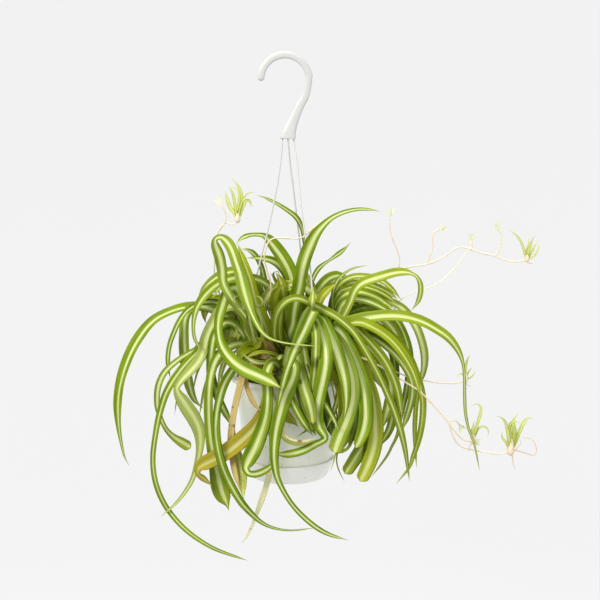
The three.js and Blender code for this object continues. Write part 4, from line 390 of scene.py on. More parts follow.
RIGHT_LEAVES = [
  leaf("right_curl", [0.45, 0.34, 0.08, 0.05], [-20, -40, -50, -52], [331, 335, 8], [343, 316, 8],
    [350, 302, 8], [354.5, 291, 8], [361, 283.5, 8.5], [371, 279.2, 9], [383, 275.5, 9], [395, 272.2, 8.5],
    [405, 271.7, 7], [412.5, 273.8, 3.5], [417.5, 277.5, 3.5], [420.3, 284, 5], [420.5, 292, 5],
    [418.5, 300, 4.5], [415, 306, 3], [410.5, 311, 1]),
  leaf("right_sweep", [0.44, 0.28, 0.13, 0.05], [-34, -58, -66, -68, -66], [330, 338, 10], [343, 325, 11],
    [355, 320, 11], [368, 317.3, 11], [383, 315.5, 10.5], [398, 315.3, 10.5], [412, 317.7, 10],
    [425, 322.3, 9.5], [437, 329, 9], [447, 336, 8], [454.5, 344.5, 6.5], [460, 354, 4.8], [463.3, 365, 2.8],
    [464.5, 380, 2.8], [464.7, 397, 3.2], [465.5, 413, 3], [469, 430, 2.4], [474.5, 445, 1.9],
    [479.7, 471, 1]),
  leaf("fan_a", [0.4, 0.42, 0, 0.05], [-2, -8, -8], [328, 330, 5.5], [332, 300, 5.5], [340, 284, 5.5],
    [350, 277.3, 5.5], [361, 275.7, 5.5], [372, 277.2, 5.5], [382, 281, 5], [390.5, 287.5, 4.5],
    [397, 294.5, 3], [401.5, 300.5, 1]),
  leaf("fan_b", [0.45, 0.48, 0, 0.1], [2, -3, -4], [329, 328, 4.5], [335, 299, 4.5], [347, 284, 4.5],
    [361, 282, 5], [374, 285.5, 6], [385, 290.5, 6], [393, 295.5, 5], [398, 299.5, 2]),
  leaf("fan_c", [0.3, 0.28, 0, 0], [-6, -12, -14], [331, 332, 5], [333, 306, 5], [339, 292, 5],
    [349, 287.3, 5], [360.5, 286, 5], [372, 288.5, 5], [383, 293.3, 5], [391.5, 299, 4], [397.5, 304.5, 1.5]),
  leaf("fan_d", [0.4, 0.3, 0, 0.05], [-10, -18, -20], [332, 334, 7], [334, 312, 7], [340, 298, 7],
    [349, 292.3, 7], [359, 291.3, 7], [369, 293.5, 7], [379, 298, 6.5], [388, 304.5, 5], [395, 309.5, 2]),
  leaf("fan_e", None, [-16, -26, -28], [333, 336, 8], [337, 316, 8], [342, 304, 8], [350, 299.3, 8],
    [359, 298.5, 8], [369, 301, 7.5], [379, 305.5, 6.5], [388, 310.5, 4], [394, 314, 1.5]),
  leaf("fan_f", None, [-8, -12], [335, 330, 4], [339, 316, 4], [344, 307, 4], [352, 304.5, 4],
    [360, 306.5, 3.5], [367.5, 310, 1.5]),
  leaf("thin_right_riser", None, [-12, -20, -24], [326, 332, 4], [332.5, 314, 3.8], [332.5, 300, 3.8],
    [334, 288, 3.8], [339, 278, 3.2], [346.5, 272, 2.2], [354, 268, 1.8], [367.5, 265.4, 1]),
  leaf("bright_riser", None, [-14, -10], [320, 328, 5], [318, 309, 5], [322, 297, 5.5], [329, 288, 5.5],
    [337, 281, 4], [340.5, 278, 2]),
  leaf("drop_a", [0.25, 0.1, 0.25, 0], [-16, -34, -44, -46], [334, 330, 7], [350, 313, 7], [370, 306.5, 7],
    [386, 309.5, 7], [397.5, 321, 6.8], [404, 333, 6.8], [408, 345, 6.8], [410, 357, 6.5], [409.5, 369, 6.5],
    [408, 381, 6.3], [406, 393, 6], [403.5, 405, 5], [400.5, 425, 1.5]),
  leaf("drop_b", [0.5, 0.2, 0, 0.15], [-4, -16, -20], [338, 325, 7], [358, 304, 7], [380, 299, 7],
    [400, 306, 7], [411, 318, 7.5], [418, 330, 7.8], [422.3, 343, 7.8], [424.5, 355, 7.5], [424.3, 366, 6.5],
    [422, 377, 4.5], [418, 388, 1.5]),
  leaf("drop_c", [0.22, 0.35, 0.2, 0], [-26, -46, -58, -68, -72], [334, 335, 7], [352, 325, 8],
    [374, 328, 10], [394, 340.5, 11], [408, 357, 9], [415, 370, 7], [420, 384, 6.5], [422.7, 398, 6.3],
    [423, 411, 6.3], [421.8, 424, 6], [419.3, 437, 5.6], [415.8, 449, 5], [412, 459.5, 4], [409, 468, 2.5],
    [396, 484, 1]),
  leaf("drop_d", [0.15, 0.4, 0.1, 0], [-14, -28, -34], [336, 330, 5], [356, 319, 5], [380, 326, 5],
    [402, 345, 5], [415, 368, 5], [418, 381, 4.6], [417.5, 394, 4.6], [416, 407, 4.6], [415, 421, 4.6],
    [414.8, 435, 4], [415.2, 448, 3], [416.7, 468, 1]),
  leaf("drop_e", None, [-30, -56, -66], [332, 338, 7], [350, 332, 7], [372, 337, 7], [393, 352, 7],
    [407, 370, 7], [412.5, 384, 7], [412.3, 396, 7], [409.5, 408, 6.5], [406, 419, 6], [402, 431, 3]),
  leaf("drop_f", [0.3, 0.05, 0.5, 0], [-18, -38, -42], [331, 334, 8], [346, 322, 8], [362, 322, 8],
    [373, 328.5, 8], [383, 336, 8], [389.5, 345, 8], [393.5, 355.5, 8], [395.3, 367, 7.5], [395.5, 379, 7],
    [393.5, 400, 2]),
  leaf("drop_g", [0.2, 0.38, 0.18, 0], [-38, -60, -72, -76], [331, 336, 8], [345, 325, 8.5], [359, 321.5, 9],
    [371, 325.5, 9], [383, 332.5, 9], [393.5, 341.5, 9], [402, 352, 8.5], [409, 363.5, 8], [414.5, 375.5, 7],
    [421, 397, 2]),
  leaf("drop_h", [0.28, 0.25, 0.15, 0], [-30, -52, -62, -66], [329, 340, 8], [340, 329, 8], [352, 325.5, 8],
    [363, 334, 8.5], [374, 346, 8.5], [383, 357.5, 8.5], [390, 369.5, 8.5], [395.5, 382.5, 8],
    [399, 396, 6.5], [402, 418, 1.5]),
  leaf("drop_i", [0.6, 0.15, 0.05, 0.4], [-24, -40, -48], [331, 345, 8], [343, 335, 8], [356, 338, 8],
    [364, 349, 8.5], [368.5, 360, 8.5], [373.5, 371, 8], [379, 381.5, 6], [384, 391, 3]),
  leaf("drop_j", None, [-36, -60, -66], [338, 342, 8], [355, 340, 8], [374, 352, 8], [387, 372, 8],
    [391, 388, 8.5], [389, 403, 9.5], [386.3, 415, 8.5], [382.5, 428, 5]),
  leaf("drop_k", [0.2, 0.55, 0.15, 0.1], [-10, -36, -52], [336, 340, 4], [356, 345, 4], [378, 365, 4],
    [394, 392, 4], [400, 415, 4], [397.5, 434, 3.2], [391.5, 447, 2.6], [386, 457.5, 2.3], [371, 477.5, 1]),
  leaf("front_right_c", [0.46, 0.05, 0.15, 0], [-50, -78, -94, -98], [330, 330, 10], [340, 332, 11.5],
    [347.5, 345, 12], [353.5, 357, 12], [358.5, 369.5, 12.5], [362.5, 382, 13], [365, 394.5, 13.5],
    [366.2, 407, 13.5], [366, 419, 13.5], [363.5, 431, 12.5], [359.5, 441, 10], [355.5, 448, 6.5]),
  leaf("front_right_d", None, [-30, -60, -80, -84], [334, 342, 9], [349, 347, 10], [362, 368, 10],
    [369, 392, 10], [372, 413, 10], [369, 431, 11.5], [362.5, 446.5, 12.5], [356, 457.5, 12.5],
    [349.8, 467, 11.5], [345, 474, 10.5]),
  leaf("yellow_right", [0.45, 0.52, 0.03, 0.02], [-36, -70, -86, -92], [335, 340, 9], [350, 344, 10],
    [361, 361, 10.5], [368, 380, 10.5], [373, 397, 12], [375.5, 411, 12.5], [376.3, 424.5, 13.5],
    [375.8, 438, 14], [373.3, 451, 14], [369.3, 463, 13.5], [364.3, 474, 12.5], [360.3, 481.5, 11]),
]

FRONT_LEAVES = [
  leaf("front_wide", [0.46, 0.05, 0.15, 0], [-44, -74, -104, -112, -110, -100, -92], [307, 338, 11],
    [306, 322, 12], [311, 315, 12.5], [317, 323, 13], [322, 335, 13.5], [325, 347, 13.5], [326, 359, 13.5],
    [324.5, 371, 13.5], [322, 383, 13], [319.3, 395, 12.5], [317.3, 407, 12], [317.3, 418, 11.5],
    [320, 429, 9.5], [325.5, 437, 6.5], [322, 441, 6], [314, 445, 7], [305, 449.7, 7.6], [294.5, 453, 7.6],
    [284, 454.3, 6.8], [274, 453, 5]),
  leaf("front_right_a", [0.5, 0.05, 0.2, 0], [-30, -60, -84, -92, -94], [312, 340, 9], [313, 324, 10],
    [319, 317, 11], [325, 324.5, 12], [330.5, 335, 12], [335.5, 347, 12], [339.5, 359, 12], [343, 371, 11],
    [345.5, 383, 10], [346.3, 395, 8], [346, 407, 5], [344, 419, 2]),
  leaf("front_right_b", [0.48, 0.1, 0.1, 0.1], [-40, -74, -98, -106], [318, 344, 10], [326, 333, 11],
    [336, 339, 12], [344, 352, 12], [349, 364, 12], [352.3, 376.5, 12], [353.7, 389, 12], [353, 401, 12.5],
    [349.8, 412.5, 13], [345.3, 424, 14], [340.5, 435, 15], [337, 444.5, 14.5], [334.5, 453, 12.5]),
  leaf("front_cross", [0.45, 0.05, 0.25, 0], [-50, -84, -104, -108], [300, 334, 10], [307, 316, 10],
    [314, 309, 10.5], [310, 318, 11], [304, 331, 11], [298.5, 342, 10.5], [293.5, 353, 9], [289.3, 364, 7],
    [285.5, 375, 6], [282.5, 386, 5.5], [280, 396, 4.5], [278, 406, 2]),
  leaf("front_pale", [0.48, 0.15, 0.1, 0.1], [-60, -84, -92], [291, 346, 9], [294.5, 351, 10],
    [297.5, 362, 11], [300.7, 375, 11.5], [304.5, 388, 11.5], [308.5, 401, 11], [311.5, 413, 10],
    [313, 424, 7]),
  leaf("front_inner", None, [-54, -80, -84], [299, 347, 7], [303, 346, 7], [305.5, 357, 7.5],
    [307.7, 370, 7.5], [311, 383, 7], [314, 395, 5], [317, 406, 2]),
  leaf("front_inner_thin", None, [-44, -74, -86], [314, 346, 5], [323, 345, 5], [330, 356, 5], [335, 370, 5],
    [338, 383, 5.2], [338, 395, 5], [335.3, 407, 4.8], [331, 418, 4.5], [326.5, 429, 3]),
  leaf("front_drop_long", [0.44, 0.05, 0.2, 0], [-56, -84, -102, -112, -118, -120], [291, 362, 9],
    [295, 366, 10], [294, 376, 11.5], [290, 386.5, 13], [285.3, 397.5, 13.5], [281.8, 408.5, 13.5],
    [278.6, 420, 13], [276, 432, 11.5], [274.5, 445, 10], [274.3, 457, 8.5], [275.5, 469, 7], [279, 482, 5.5],
    [291, 503, 4.6], [307, 520, 5], [326, 533, 4], [349, 540.5, 1]),
  leaf("front_folded", [0.46, 0.1, 0.15, 0], [-50, -84, -104, -110, -102], [274, 362, 9], [268, 368, 9.5],
    [267, 379, 9.5], [267.5, 391, 9.5], [267.3, 402, 10.5], [266, 414, 11.8], [263, 426, 13],
    [259, 437, 14.2], [254.5, 448, 15], [249.5, 458, 14], [246.3, 465.5, 10], [246, 470.5, 5.5],
    [249.5, 473.5, 6.2], [255.5, 474, 6.8], [263, 471.5, 6.8], [270.5, 466.5, 6], [277, 461, 4]),
  leaf("amber_fold", [0.38, 0.92, 0.22, 0.05], [-46, -74, -92, -100, -98], [272, 368, 8], [268.5, 378, 9],
    [268, 390, 10], [266, 404, 10], [261, 416, 11], [254, 427, 13], [245, 436.5, 15], [234, 446, 15.5],
    [222, 454.3, 15], [211, 460, 14.2], [202.5, 464.5, 12.5], [198, 468.5, 7.5], [197.5, 473, 5],
    [201.5, 477, 6], [206.5, 481, 6], [212, 486, 4]),
  leaf("front_thin_a", None, [-66, -82, -84], [306, 356, 4], [312, 372, 4], [319, 390, 4], [325, 403, 4],
    [330.5, 413, 4], [335, 422, 4], [338.5, 431, 1.5]),
  leaf("front_thin_b", [0.34, 0.05, 0.2, 0], [-70, -86, -84], [286.5, 372, 5], [288, 385, 6], [291.5, 399, 7],
    [297.5, 412, 7.2], [304, 423, 7], [313, 435.5, 3]),
]

DRY_LEAVES = [
  leaf("tan_long", [0, 0.4, 0, 0], [-64, -84, -90, -92], [256, 366, 7], [248, 367, 7.5], [243, 374, 8],
    [240, 386, 8], [236.5, 400, 7.5], [233.5, 415, 7.5], [231.5, 430, 7.5], [231, 445, 7.5], [232.5, 460, 7],
    [235.5, 475, 6], [240, 491, 2]),
  leaf("tan_short", [0, 0.85, 0.1, 0], [-66, -80, -82], [257, 370, 4.5], [248, 374, 5], [246, 382, 5],
    [250, 396, 5.5], [256, 406, 5.5], [262, 412, 3]),
  leaf("bleached", [0.85, 0.2, 0, 0], [-70, -88, -92, -92], [263, 372, 5], [263, 386, 5], [266, 405, 5],
    [270, 430, 5], [272, 452, 5.5], [270, 470, 6], [266.5, 485, 6.5], [262, 499, 6.5], [256.5, 514, 4.5],
    [251, 528, 3.2], [246, 538, 2.6], [240.5, 544, 1]),
]

# Thin, old and broken leaves among the crowns, which find their room once the others have theirs.
SMALL_LEAVES = {
  "left": [
    leaf("thin_stem_a", [0, 0.3, 0.05, 0.55], [-30, -52, -56], [253, 342, 2.2], [246, 333, 2.2],
      [244.6, 320, 2], [244.3, 309, 1.8], [243, 302, 1]),
    leaf("thin_stem_b", [0, 0.5, 0.55, 0.1], [-32, -50, -54], [255, 344, 2.2], [249, 334, 2.4],
      [247.3, 322, 2.2], [247, 311, 1]),
    leaf("inner_olive_b", [0.25, 0.35, 0.1, 0.2], [-10, -26, -30], [252, 340, 6], [242, 336, 6.5],
      [239, 326, 6.5], [238.5, 316, 5.5], [241, 305, 2]),
    leaf("low_olive", [0, 0.6, 0.55, 0], [-40, -62, -74], [263, 342, 8], [255, 344.5, 11], [246.5, 348.5, 11],
      [240, 355, 8], [236, 364, 3]),
    leaf("pale_inner_a", [0.3, 0.62, 0, 0.3], [-14, -34, -44], [250, 338, 8], [243, 325, 10],
      [236, 319, 11.5], [229.5, 324, 11.5], [227, 334, 11], [228, 345, 6]),
    leaf("pale_inner_b", [0.2, 0.6, 0, 0.3], [-14, -44, -58], [250, 342, 8], [243, 334, 11], [237, 330, 12],
      [233, 338, 11], [231, 349, 5]),
    leaf("old_drop", [0.45, 0.76, 0, 0.25], [-44, -74, -94, -101], [254, 350, 4], [246, 364, 4],
      [239.5, 382, 4], [235.5, 402, 4], [232.5, 422, 4.5], [234, 440, 5], [238, 455, 8], [240.5, 466, 10],
      [241.5, 477, 10.5], [242.5, 488, 7], [244, 500, 2]),
    leaf("low_dark", [0, 0.35, 0.6, 0], [-24, -40, -44], [252, 344, 2.5], [240, 339.5, 2.5],
      [231, 338.2, 2.2], [224, 339, 1]),
    leaf("left_old_tip", [0.3, 0.8, 0.15, 0.2], [-8, -20, -24], [248, 330, 4], [236, 306, 4.5], [229, 292, 5],
      [224, 284, 3], [221, 279, 1]),
  ],
  "front": [
    leaf("soil_loop", [0.6, 0.3, 0.05, 0.3], [-52, -72, -80], [283, 356, 3.4], [278, 359, 4],
      [270, 361.6, 4.2], [261, 362.8, 4.2], [253, 361.2, 3.8], [247, 357.5, 2.8], [241, 352.5, 1]),
    leaf("soil_arch", [0, 0.6, 0.2, 0.1], [-46, -60, -66], [279, 357, 3], [273, 353.8, 3.2], [265, 352, 3.4],
      [257, 352.6, 3.4], [250, 355.5, 3], [243, 360, 1]),
    leaf("front_fill_a", [0.15, 0.05, 0.45, 0], [-60, -78, -86, -90], [293, 354, 6], [296.5, 368, 7],
      [298, 383, 7], [300.5, 397, 7], [304, 410, 6.5], [309.5, 423, 6], [316, 435.5, 2.5]),
    leaf("front_fill_b", [0.25, 0.1, 0.55, 0], [-62, -80, -86], [300, 352, 5], [308, 362, 5.5],
      [314, 376, 5.5], [320, 392, 5.5], [327, 406, 5], [334, 418, 4], [340, 428, 1.5]),
    leaf("olive_scrap", [0, 0.84, 0.05, 0.1], [-62, -76, -80], [291, 366, 5], [286, 382, 6], [283, 397, 7],
      [284, 410, 8.5], [288, 417.5, 9], [293.5, 421.5, 7.5], [298.5, 427, 3]),
    leaf("dark_tip", [0, 0.2, 0.75, 0], [-64, -80, -84], [298, 372, 2], [303, 400, 2], [308, 418, 2],
      [308, 428, 2], [303, 432.5, 1.8], [296, 437.5, 1]),
    leaf("olive_right", [0.1, 0.75, 0.25, 0], [-60, -80, -84, -84], [318, 356, 5], [332, 372, 7],
      [340, 388, 8.5], [343, 402, 9.5], [343, 416, 10], [344.5, 430, 10], [345, 441, 9], [342, 450, 5]),
    leaf("front_cover", [0.35, 0.15, 0.3, 0], [-52, -76, -84, -84], [302, 350, 7], [307, 333, 8],
      [312.5, 323, 8.5], [316, 333, 8.5], [316, 348, 8.5], [315, 364, 8], [313.5, 380, 7.5], [311.5, 396, 4]),
    leaf("wire_cover", [0.3, 0.3, 0.15, 0.1], [-42, -47, -49], [304, 346, 6], [308, 322, 6.5], [311, 306, 7],
      [312.5, 296, 6], [313, 287, 2]),
    leaf("front_fill_c", [0.15, 0.1, 0.6, 0], [-56, -70, -76, -78], [309, 356, 7], [317, 374, 9],
      [323, 394, 10], [327, 413, 10], [331, 429, 8], [335, 441, 4]),
    leaf("hook_band", [0.3, 0.6, 0, 0.45], [-60, -76, -84, -86], [290, 364, 4], [284, 388, 4.5],
      [280, 412, 4.5], [281, 432, 5], [290, 441.5, 5], [302, 443.3, 4.5], [314, 440.5, 3]),
  ],
  "centre": [
    leaf("centre_fill_a", [0.3, 0.52, 0.15, 0], [8, -8, -12], [288, 338, 8], [286, 314, 9], [284, 296, 9.5],
      [281, 281, 9], [275.5, 272.5, 4]),
    leaf("centre_fill_b", [0.1, 0.65, 0.35, 0], [2, -16, -20], [284, 340, 7], [277, 320, 8], [274, 304, 8.5],
      [276, 292, 8], [284, 284, 4]),
    leaf("centre_fill_c", [0.25, 0.45, 0.25, 0], [4, -14, -18], [296, 340, 8], [299.5, 322, 9],
      [301, 306, 9.5], [298, 293, 9], [289, 286, 4]),
    leaf("centre_fill_d", [0.4, 0.48, 0.12, 0.1], [10, -4, -6], [304, 336, 8], [308, 316, 9],
      [310.5, 300, 9.5], [311, 285, 8], [307, 272, 4]),
    leaf("centre_curl", [0, 0.35, 0.15, 0.1], [8, -10, -14, -14], [281, 304, 2], [279.8, 288, 2],
      [277, 281.5, 2], [274.3, 277.5, 2], [273.3, 273.6, 2], [275, 271, 1.9], [277.6, 271.4, 1.8],
      [279.6, 274.2, 1.6], [280.4, 277, 0.8]),
  ],
  "right": [
    leaf("olive_riser_b", [0.2, 0.7, 0, 0], [-10, -22, -24], [318, 332, 6], [317, 312, 7], [321, 298, 7.5],
      [328, 289.5, 7], [337, 283.5, 3]),
    leaf("fan_drop", [0.35, 0.25, 0.05, 0.1], [-4, -16, -20], [340, 326, 7], [362, 313, 8], [381, 317, 10],
      [392.5, 327, 10], [399, 340, 8], [402, 354, 3]),
    leaf("right_fill_a", [0.15, 0.1, 0.55, 0], [-50, -66, -74, -76], [330, 358, 7], [344, 372, 9],
      [352, 394, 10.5], [355.5, 414, 11], [353.5, 432, 10], [348.5, 447, 5]),
    leaf("right_fill_b", [0.35, 0.12, 0.4, 0], [-50, -66, -74, -76], [334, 352, 7], [352, 370, 9],
      [363, 393, 11], [369.5, 415, 12], [370.5, 436, 12], [367, 453, 10], [361, 467, 5]),
    leaf("right_fill_c", [0.35, 0.2, 0.25, 0], [-30, -46, -56, -58], [344, 346, 6], [367, 360, 7],
      [384, 384, 8.5], [392.5, 407, 9], [391, 425, 8], [385, 438, 6], [379, 447, 3]),
    leaf("pale_sliver", [0.7, 0.2, 0, 0.5], [-52, -78, -88], [338, 350, 4], [354, 374, 5], [361, 396, 5],
      [359.5, 411, 5], [356, 424, 4.6], [355, 434, 1.5]),
    leaf("hair_a", [0, 0.8, 0.25, 0.2], [-60, -80, -92], [325, 362, 1.4], [334, 395, 1.4], [338, 430, 1.4],
      [336, 450, 1.4], [333.5, 462, 1.3], [330.3, 471.5, 0.8]),
    leaf("hair_b", [0, 0.6, 0.65, 0], [-58, -78, -90], [328, 362, 1.4], [340, 400, 1.4], [341, 435, 1.4],
      [337, 455, 1.4], [337, 464, 1.3], [340, 473, 1.2], [344.5, 481.5, 0.8]),
    leaf("yellow_bit", [0.3, 0.6, 0, 0.2], [-52, -70, -80], [336, 362, 2.5], [348, 395, 2.6], [353, 425, 2.8],
      [351, 443, 3], [344.5, 450.5, 3], [337, 453, 2.6], [333, 458, 1]),
  ],
  "dry": [
    leaf("pale_curve", [0.55, 0.1, 0, 0], [-72, -94, -98, -98], [266, 372, 3], [272, 390, 3], [278, 408, 3],
      [280.5, 423, 3.2], [283.5, 433, 3.4], [290, 438.8, 3.2], [300, 441, 3], [310, 440, 2.4],
      [318, 436.5, 1]),
    leaf("sheath_a", [0, 1, 0.55, 0], [-26, -34, -36], [274, 358, 4], [272.5, 351, 8], [268, 344.5, 9],
      [262, 341, 3]),
    leaf("sheath_b", [0, 1, 0.65, 0], [-34, -44, -48], [272, 361, 3], [265, 357, 5.5], [257, 356.5, 5.5],
      [250, 358.5, 2.5]),
    leaf("sheath_c", [0, 1, 0.6, 0], [-46, -52, -52], [286, 376, 3], [281, 372, 8], [274, 368.5, 9],
      [269, 371, 3]),
  ],
}

STALKS = [
  stalk("runner_left", [-50, 20], 1.3, 0.3, [20, 14, 4, -6, -10, -10], [240, 345], [230, 320], [221, 298],
    [214.5, 276], [214.5, 260], [213.8, 247], [215.5, 237], [220, 229], [225, 222.8], [231, 224.5],
    [234, 224.5], [237, 221]),
  stalk("runner_top", [-13, 9], 1.2, 0.75, [8, -6, -16, -20, -20, -20], [272, 340], [271, 320], [270.8, 300],
    [270.6, 283], [267, 270], [264.3, 258], [266, 249], [268.5, 242], [274, 238.3], [285, 238], [299, 238.5],
    [306, 234.5], [312, 229.5]),
  stalk("bud_stem", [56, 14], 0.9, 0.6, [16, 14, 12, 12], [333, 350], [352, 316], [376, 288], [396, 272],
    [399.5, 262], [398.5, 254], [395, 245], [391.5, 236], [390, 227], [389.6, 217]),
  stalk("runner_right_upper", [44, 32], 1.3, 0.05, [30, 26, 22, 20, 20, 20], [326, 345], [340, 318],
    [360, 291], [385, 273.5], [409, 267], [423, 265], [437, 260.5], [449, 253.3], [457, 247.8], [464, 247.3],
    [471, 249.5], [482, 253], [495, 256], [505, 260], [515, 261.7], [522, 261], [527, 259.5]),
  stalk("runner_right_middle", [58, -24], 1.1, 0.4, [-24, -36, -44, -46, -46, -46], [338, 362], [352, 356],
    [368, 358], [385, 366], [400, 373.5], [410, 377], [432, 382], [449, 383.3], [460, 382.3], [465.5, 380.5]),
  stalk("runner_right_lower", [46, -42], 1.2, 0.3, [-42, -58, -66, -64, -60, -60], [330, 364], [345, 357],
    [362, 358], [378, 365], [390, 372.5], [402, 380], [411, 385.7], [418, 390], [426, 397.3], [437, 409.5],
    [443, 416], [448, 422.7], [451, 431], [453.5, 437.5], [456.5, 442.5], [460.5, 446], [466, 448.5],
    [479, 451], [495, 453.5], [504, 453.3], [510.5, 451]),
]

# A side branch starts on the stalk named, at that stalk's depth, and ends at its own depth. Its pale
# is its share of the pale bud colour.
BRANCHES = [
  dict(on="runner_left", radius=1, depth=-9.5, pale=0, points=[[225, 223], [225.8, 216], [224, 210],
    [221, 205]]),
  dict(on="runner_top", radius=1.4, depth=-20, pale=0, points=[[309, 232], [312.5, 228.5], [317, 225.5]]),
  dict(on="runner_right_upper", radius=1.1, depth=20, pale=0, points=[[427, 264], [429.5, 257], [432, 250],
    [433.3, 245], [432.4, 238], [434, 232.5], [439.5, 229.5]]),
  dict(on="runner_right_upper", radius=1.4, depth=20, pale=0, points=[[471, 249.8], [471.6, 245],
    [471.5, 240.5]]),
  dict(on="runner_right_upper", radius=1.1, depth=20, pale=0, points=[[494, 256], [498, 252.5], [500, 247],
    [501.2, 240], [501.3, 234], [499, 230.5]]),
  dict(on="runner_right_upper", radius=0.8, depth=20, pale=0.8, points=[[471, 249.5], [466, 253], [458, 264],
    [446, 277], [432, 286.5], [417, 290.5], [405, 297], [399, 301.5]]),
  dict(on="runner_right_lower", radius=1.1, depth=-60, pale=0, points=[[447.5, 422], [453, 429],
    [459.5, 436.6], [465, 440.4], [473, 441.5]]),
  dict(on="runner_right_lower", radius=0.9, depth=-60, pale=0, points=[[447, 422], [452, 420.6], [456, 421],
    [459.5, 425]]),
]

# A plantlet's base is at [across, down, depth, width], its leaves rise from it, and its roots hang.
PLANTLETS = [
  dict(name="plantlet_left", base=[237.5, 219.5, -10, 6], leaves=[
    path([-12, -16], [239, 212, 4], [241, 205, 4.3], [241.6, 197, 4], [240, 190, 3.2], [236.5, 183.5, 2.2],
      [230, 176.3, 1]),
    path([-8, -4], [234.5, 213, 4], [230.5, 208, 4.3], [227.8, 201, 4.2], [226, 195, 3.8], [225, 190, 2]),
    path([-14, -20], [235.6, 211, 3.4], [234.8, 204, 3.4], [233.6, 197, 3.2], [231.4, 190.5, 2.8],
      [227.5, 186, 1]),
    path([-6, 2], [237.3, 211, 3.6], [238.6, 203, 3.2], [239.4, 195, 3], [237, 189.5, 2.4], [233, 188, 2],
      [229.5, 190.5, 1]),
    path([-5, 0], [240.5, 213, 3.6], [243.5, 205, 4], [246.5, 200, 4], [250, 201.5, 3.8],
      [251.5, 207.5, 1.5]),
    path([-14, -18], [240, 208, 2], [244, 198, 2], [249, 193, 2], [256, 192.5, 1]),
  ], roots=[]),
  dict(name="plantlet_right_upper", base=[527, 259.5, 20, 5], leaves=[
    path([18, 16], [525, 254, 3], [523.3, 248, 3], [520.5, 241, 2.6], [515.5, 234.5, 2], [508.5, 229.8, 1]),
    path([16, 12], [528.3, 252, 3.6], [530.2, 245.5, 3.6], [532.5, 239.5, 2.6], [535.5, 235.5, 1]),
    path([22, 26], [527, 251, 3.2], [528.6, 245, 3], [528.8, 237.5, 1.4]),
    path([22, 28], [530, 254.5, 2.6], [533.3, 249, 2.8], [535.6, 244.5, 2.2], [538.3, 240, 1]),
    path([17, 14], [532, 257.5, 2.2], [536.3, 253.5, 2.2], [538.5, 248.5, 1.8], [539, 243.5, 1]),
  ], roots=[
    [[527, 261, 19], [530, 263.5, 18], [533, 263, 17]],
  ]),
  dict(name="plantlet_right_middle", base=[465.5, 380.5, -46, 5], leaves=[
    path([-47, -49], [465.5, 374, 3], [465.8, 367, 3], [467.2, 360, 2.8], [471, 353.5, 1]),
    path([-45, -42], [467, 375, 2.4], [469.5, 370.5, 2.4], [473, 366.5, 1]),
    path([-48, -52], [463.8, 376, 2.4], [461, 373.6, 2.2], [458, 375, 2], [457, 379, 1]),
    path([-44, -41], [468, 378.5, 2], [471.5, 377, 2], [474.5, 373, 1.6], [474, 369.5, 1]),
  ], roots=[
    [[465.5, 382, -46], [467.5, 385, -47], [471, 386, -47]],
  ]),
  dict(name="plantlet_right_inner", base=[473, 441, -60, 5.5], leaves=[
    path([-62, -66], [472.2, 435, 5], [473, 428, 4.2], [474.5, 420, 1.6]),
    path([-57, -54], [474.5, 434, 3.4], [477, 425, 3.4], [480, 415, 3.6], [481, 408, 2.6], [477, 404, 1.6],
      [469.5, 406.5, 1]),
    path([-56, -52], [475.5, 434.5, 2.4], [479, 428, 2.4], [484.5, 426.5, 2.2], [488.3, 430.5, 2],
      [487.5, 437.5, 1]),
  ], roots=[
    [[472, 443, -62], [469, 447, -64], [468, 451.5, -64]],
  ]),
  dict(name="plantlet_right_lower", base=[510.5, 451, -60, 8], leaves=[
    path([-64, -70], [509, 441, 4], [507.6, 431, 4], [505.5, 422.5, 3.4], [501.5, 417.8, 2.4],
      [496, 416.3, 1]),
    path([-56, -52], [512.6, 441, 5], [514.6, 432, 5], [513.4, 425, 4.4], [514, 419, 3], [519.5, 412.3, 1]),
    path([-54, -50], [515, 443, 4], [519, 433, 4.2], [523.5, 423, 4.2], [528.5, 418, 2.6], [534, 419.5, 1]),
    path([-66, -72], [506.5, 443, 3], [502.6, 438, 2.6], [501.8, 434, 2], [503, 430.5, 1]),
    path([-60, -62], [511, 436, 3.6], [509.8, 427, 3.4], [512.5, 421.4, 2.8], [521, 423.4, 1]),
  ], roots=[
    [[511, 452, -61], [517, 448, -65], [521, 442.5, -66], [518.8, 439, -66]],
    [[512, 454, -60], [513, 463, -60], [514.6, 468.5, -60]],
    [[514, 450, -59], [524, 452.5, -58], [533.5, 455, -57], [536.5, 449, -57], [532, 439.5, -57],
      [522, 437.5, -57]],
  ]),
]

# Each wire has its side of the block, the azimuth of its hole in the rim, and its places seen.
WIRES = [
  dict(name="wire_left", side=-1, azimuth=180, points=[[280.4, 163], [276.5, 189], [268.2, 229], [260, 262]]),
  dict(name="wire_back", side=0, azimuth=60, points=[[290, 163], [293.2, 187], [298.2, 229], [302, 262]]),
  dict(name="wire_right", side=1, azimuth=-60, points=[[297, 163], [300.1, 196], [304.2, 229], [311, 275]]),
]

# Each crown's place in the pot and its traced leaves
CROWNS = {
    "left": ((-30, -5), LEFT_LEAVES),
    "centre": ((4, 31), CENTRE_LEAVES),
    "right": ((38, 0), RIGHT_LEAVES),
    "front": ((-2, -36), FRONT_LEAVES),
    "dry": ((-26, -45), DRY_LEAVES),
}


# Routes

def view_scale(places):
    """Millimetres for each step across the view, at a place."""
    d = np.atleast_2d(places) - EYE
    return (d[:, 1] * cos(VIEW_PITCH) - d[:, 2] * sin(VIEW_PITCH)) / VIEW_FOCAL


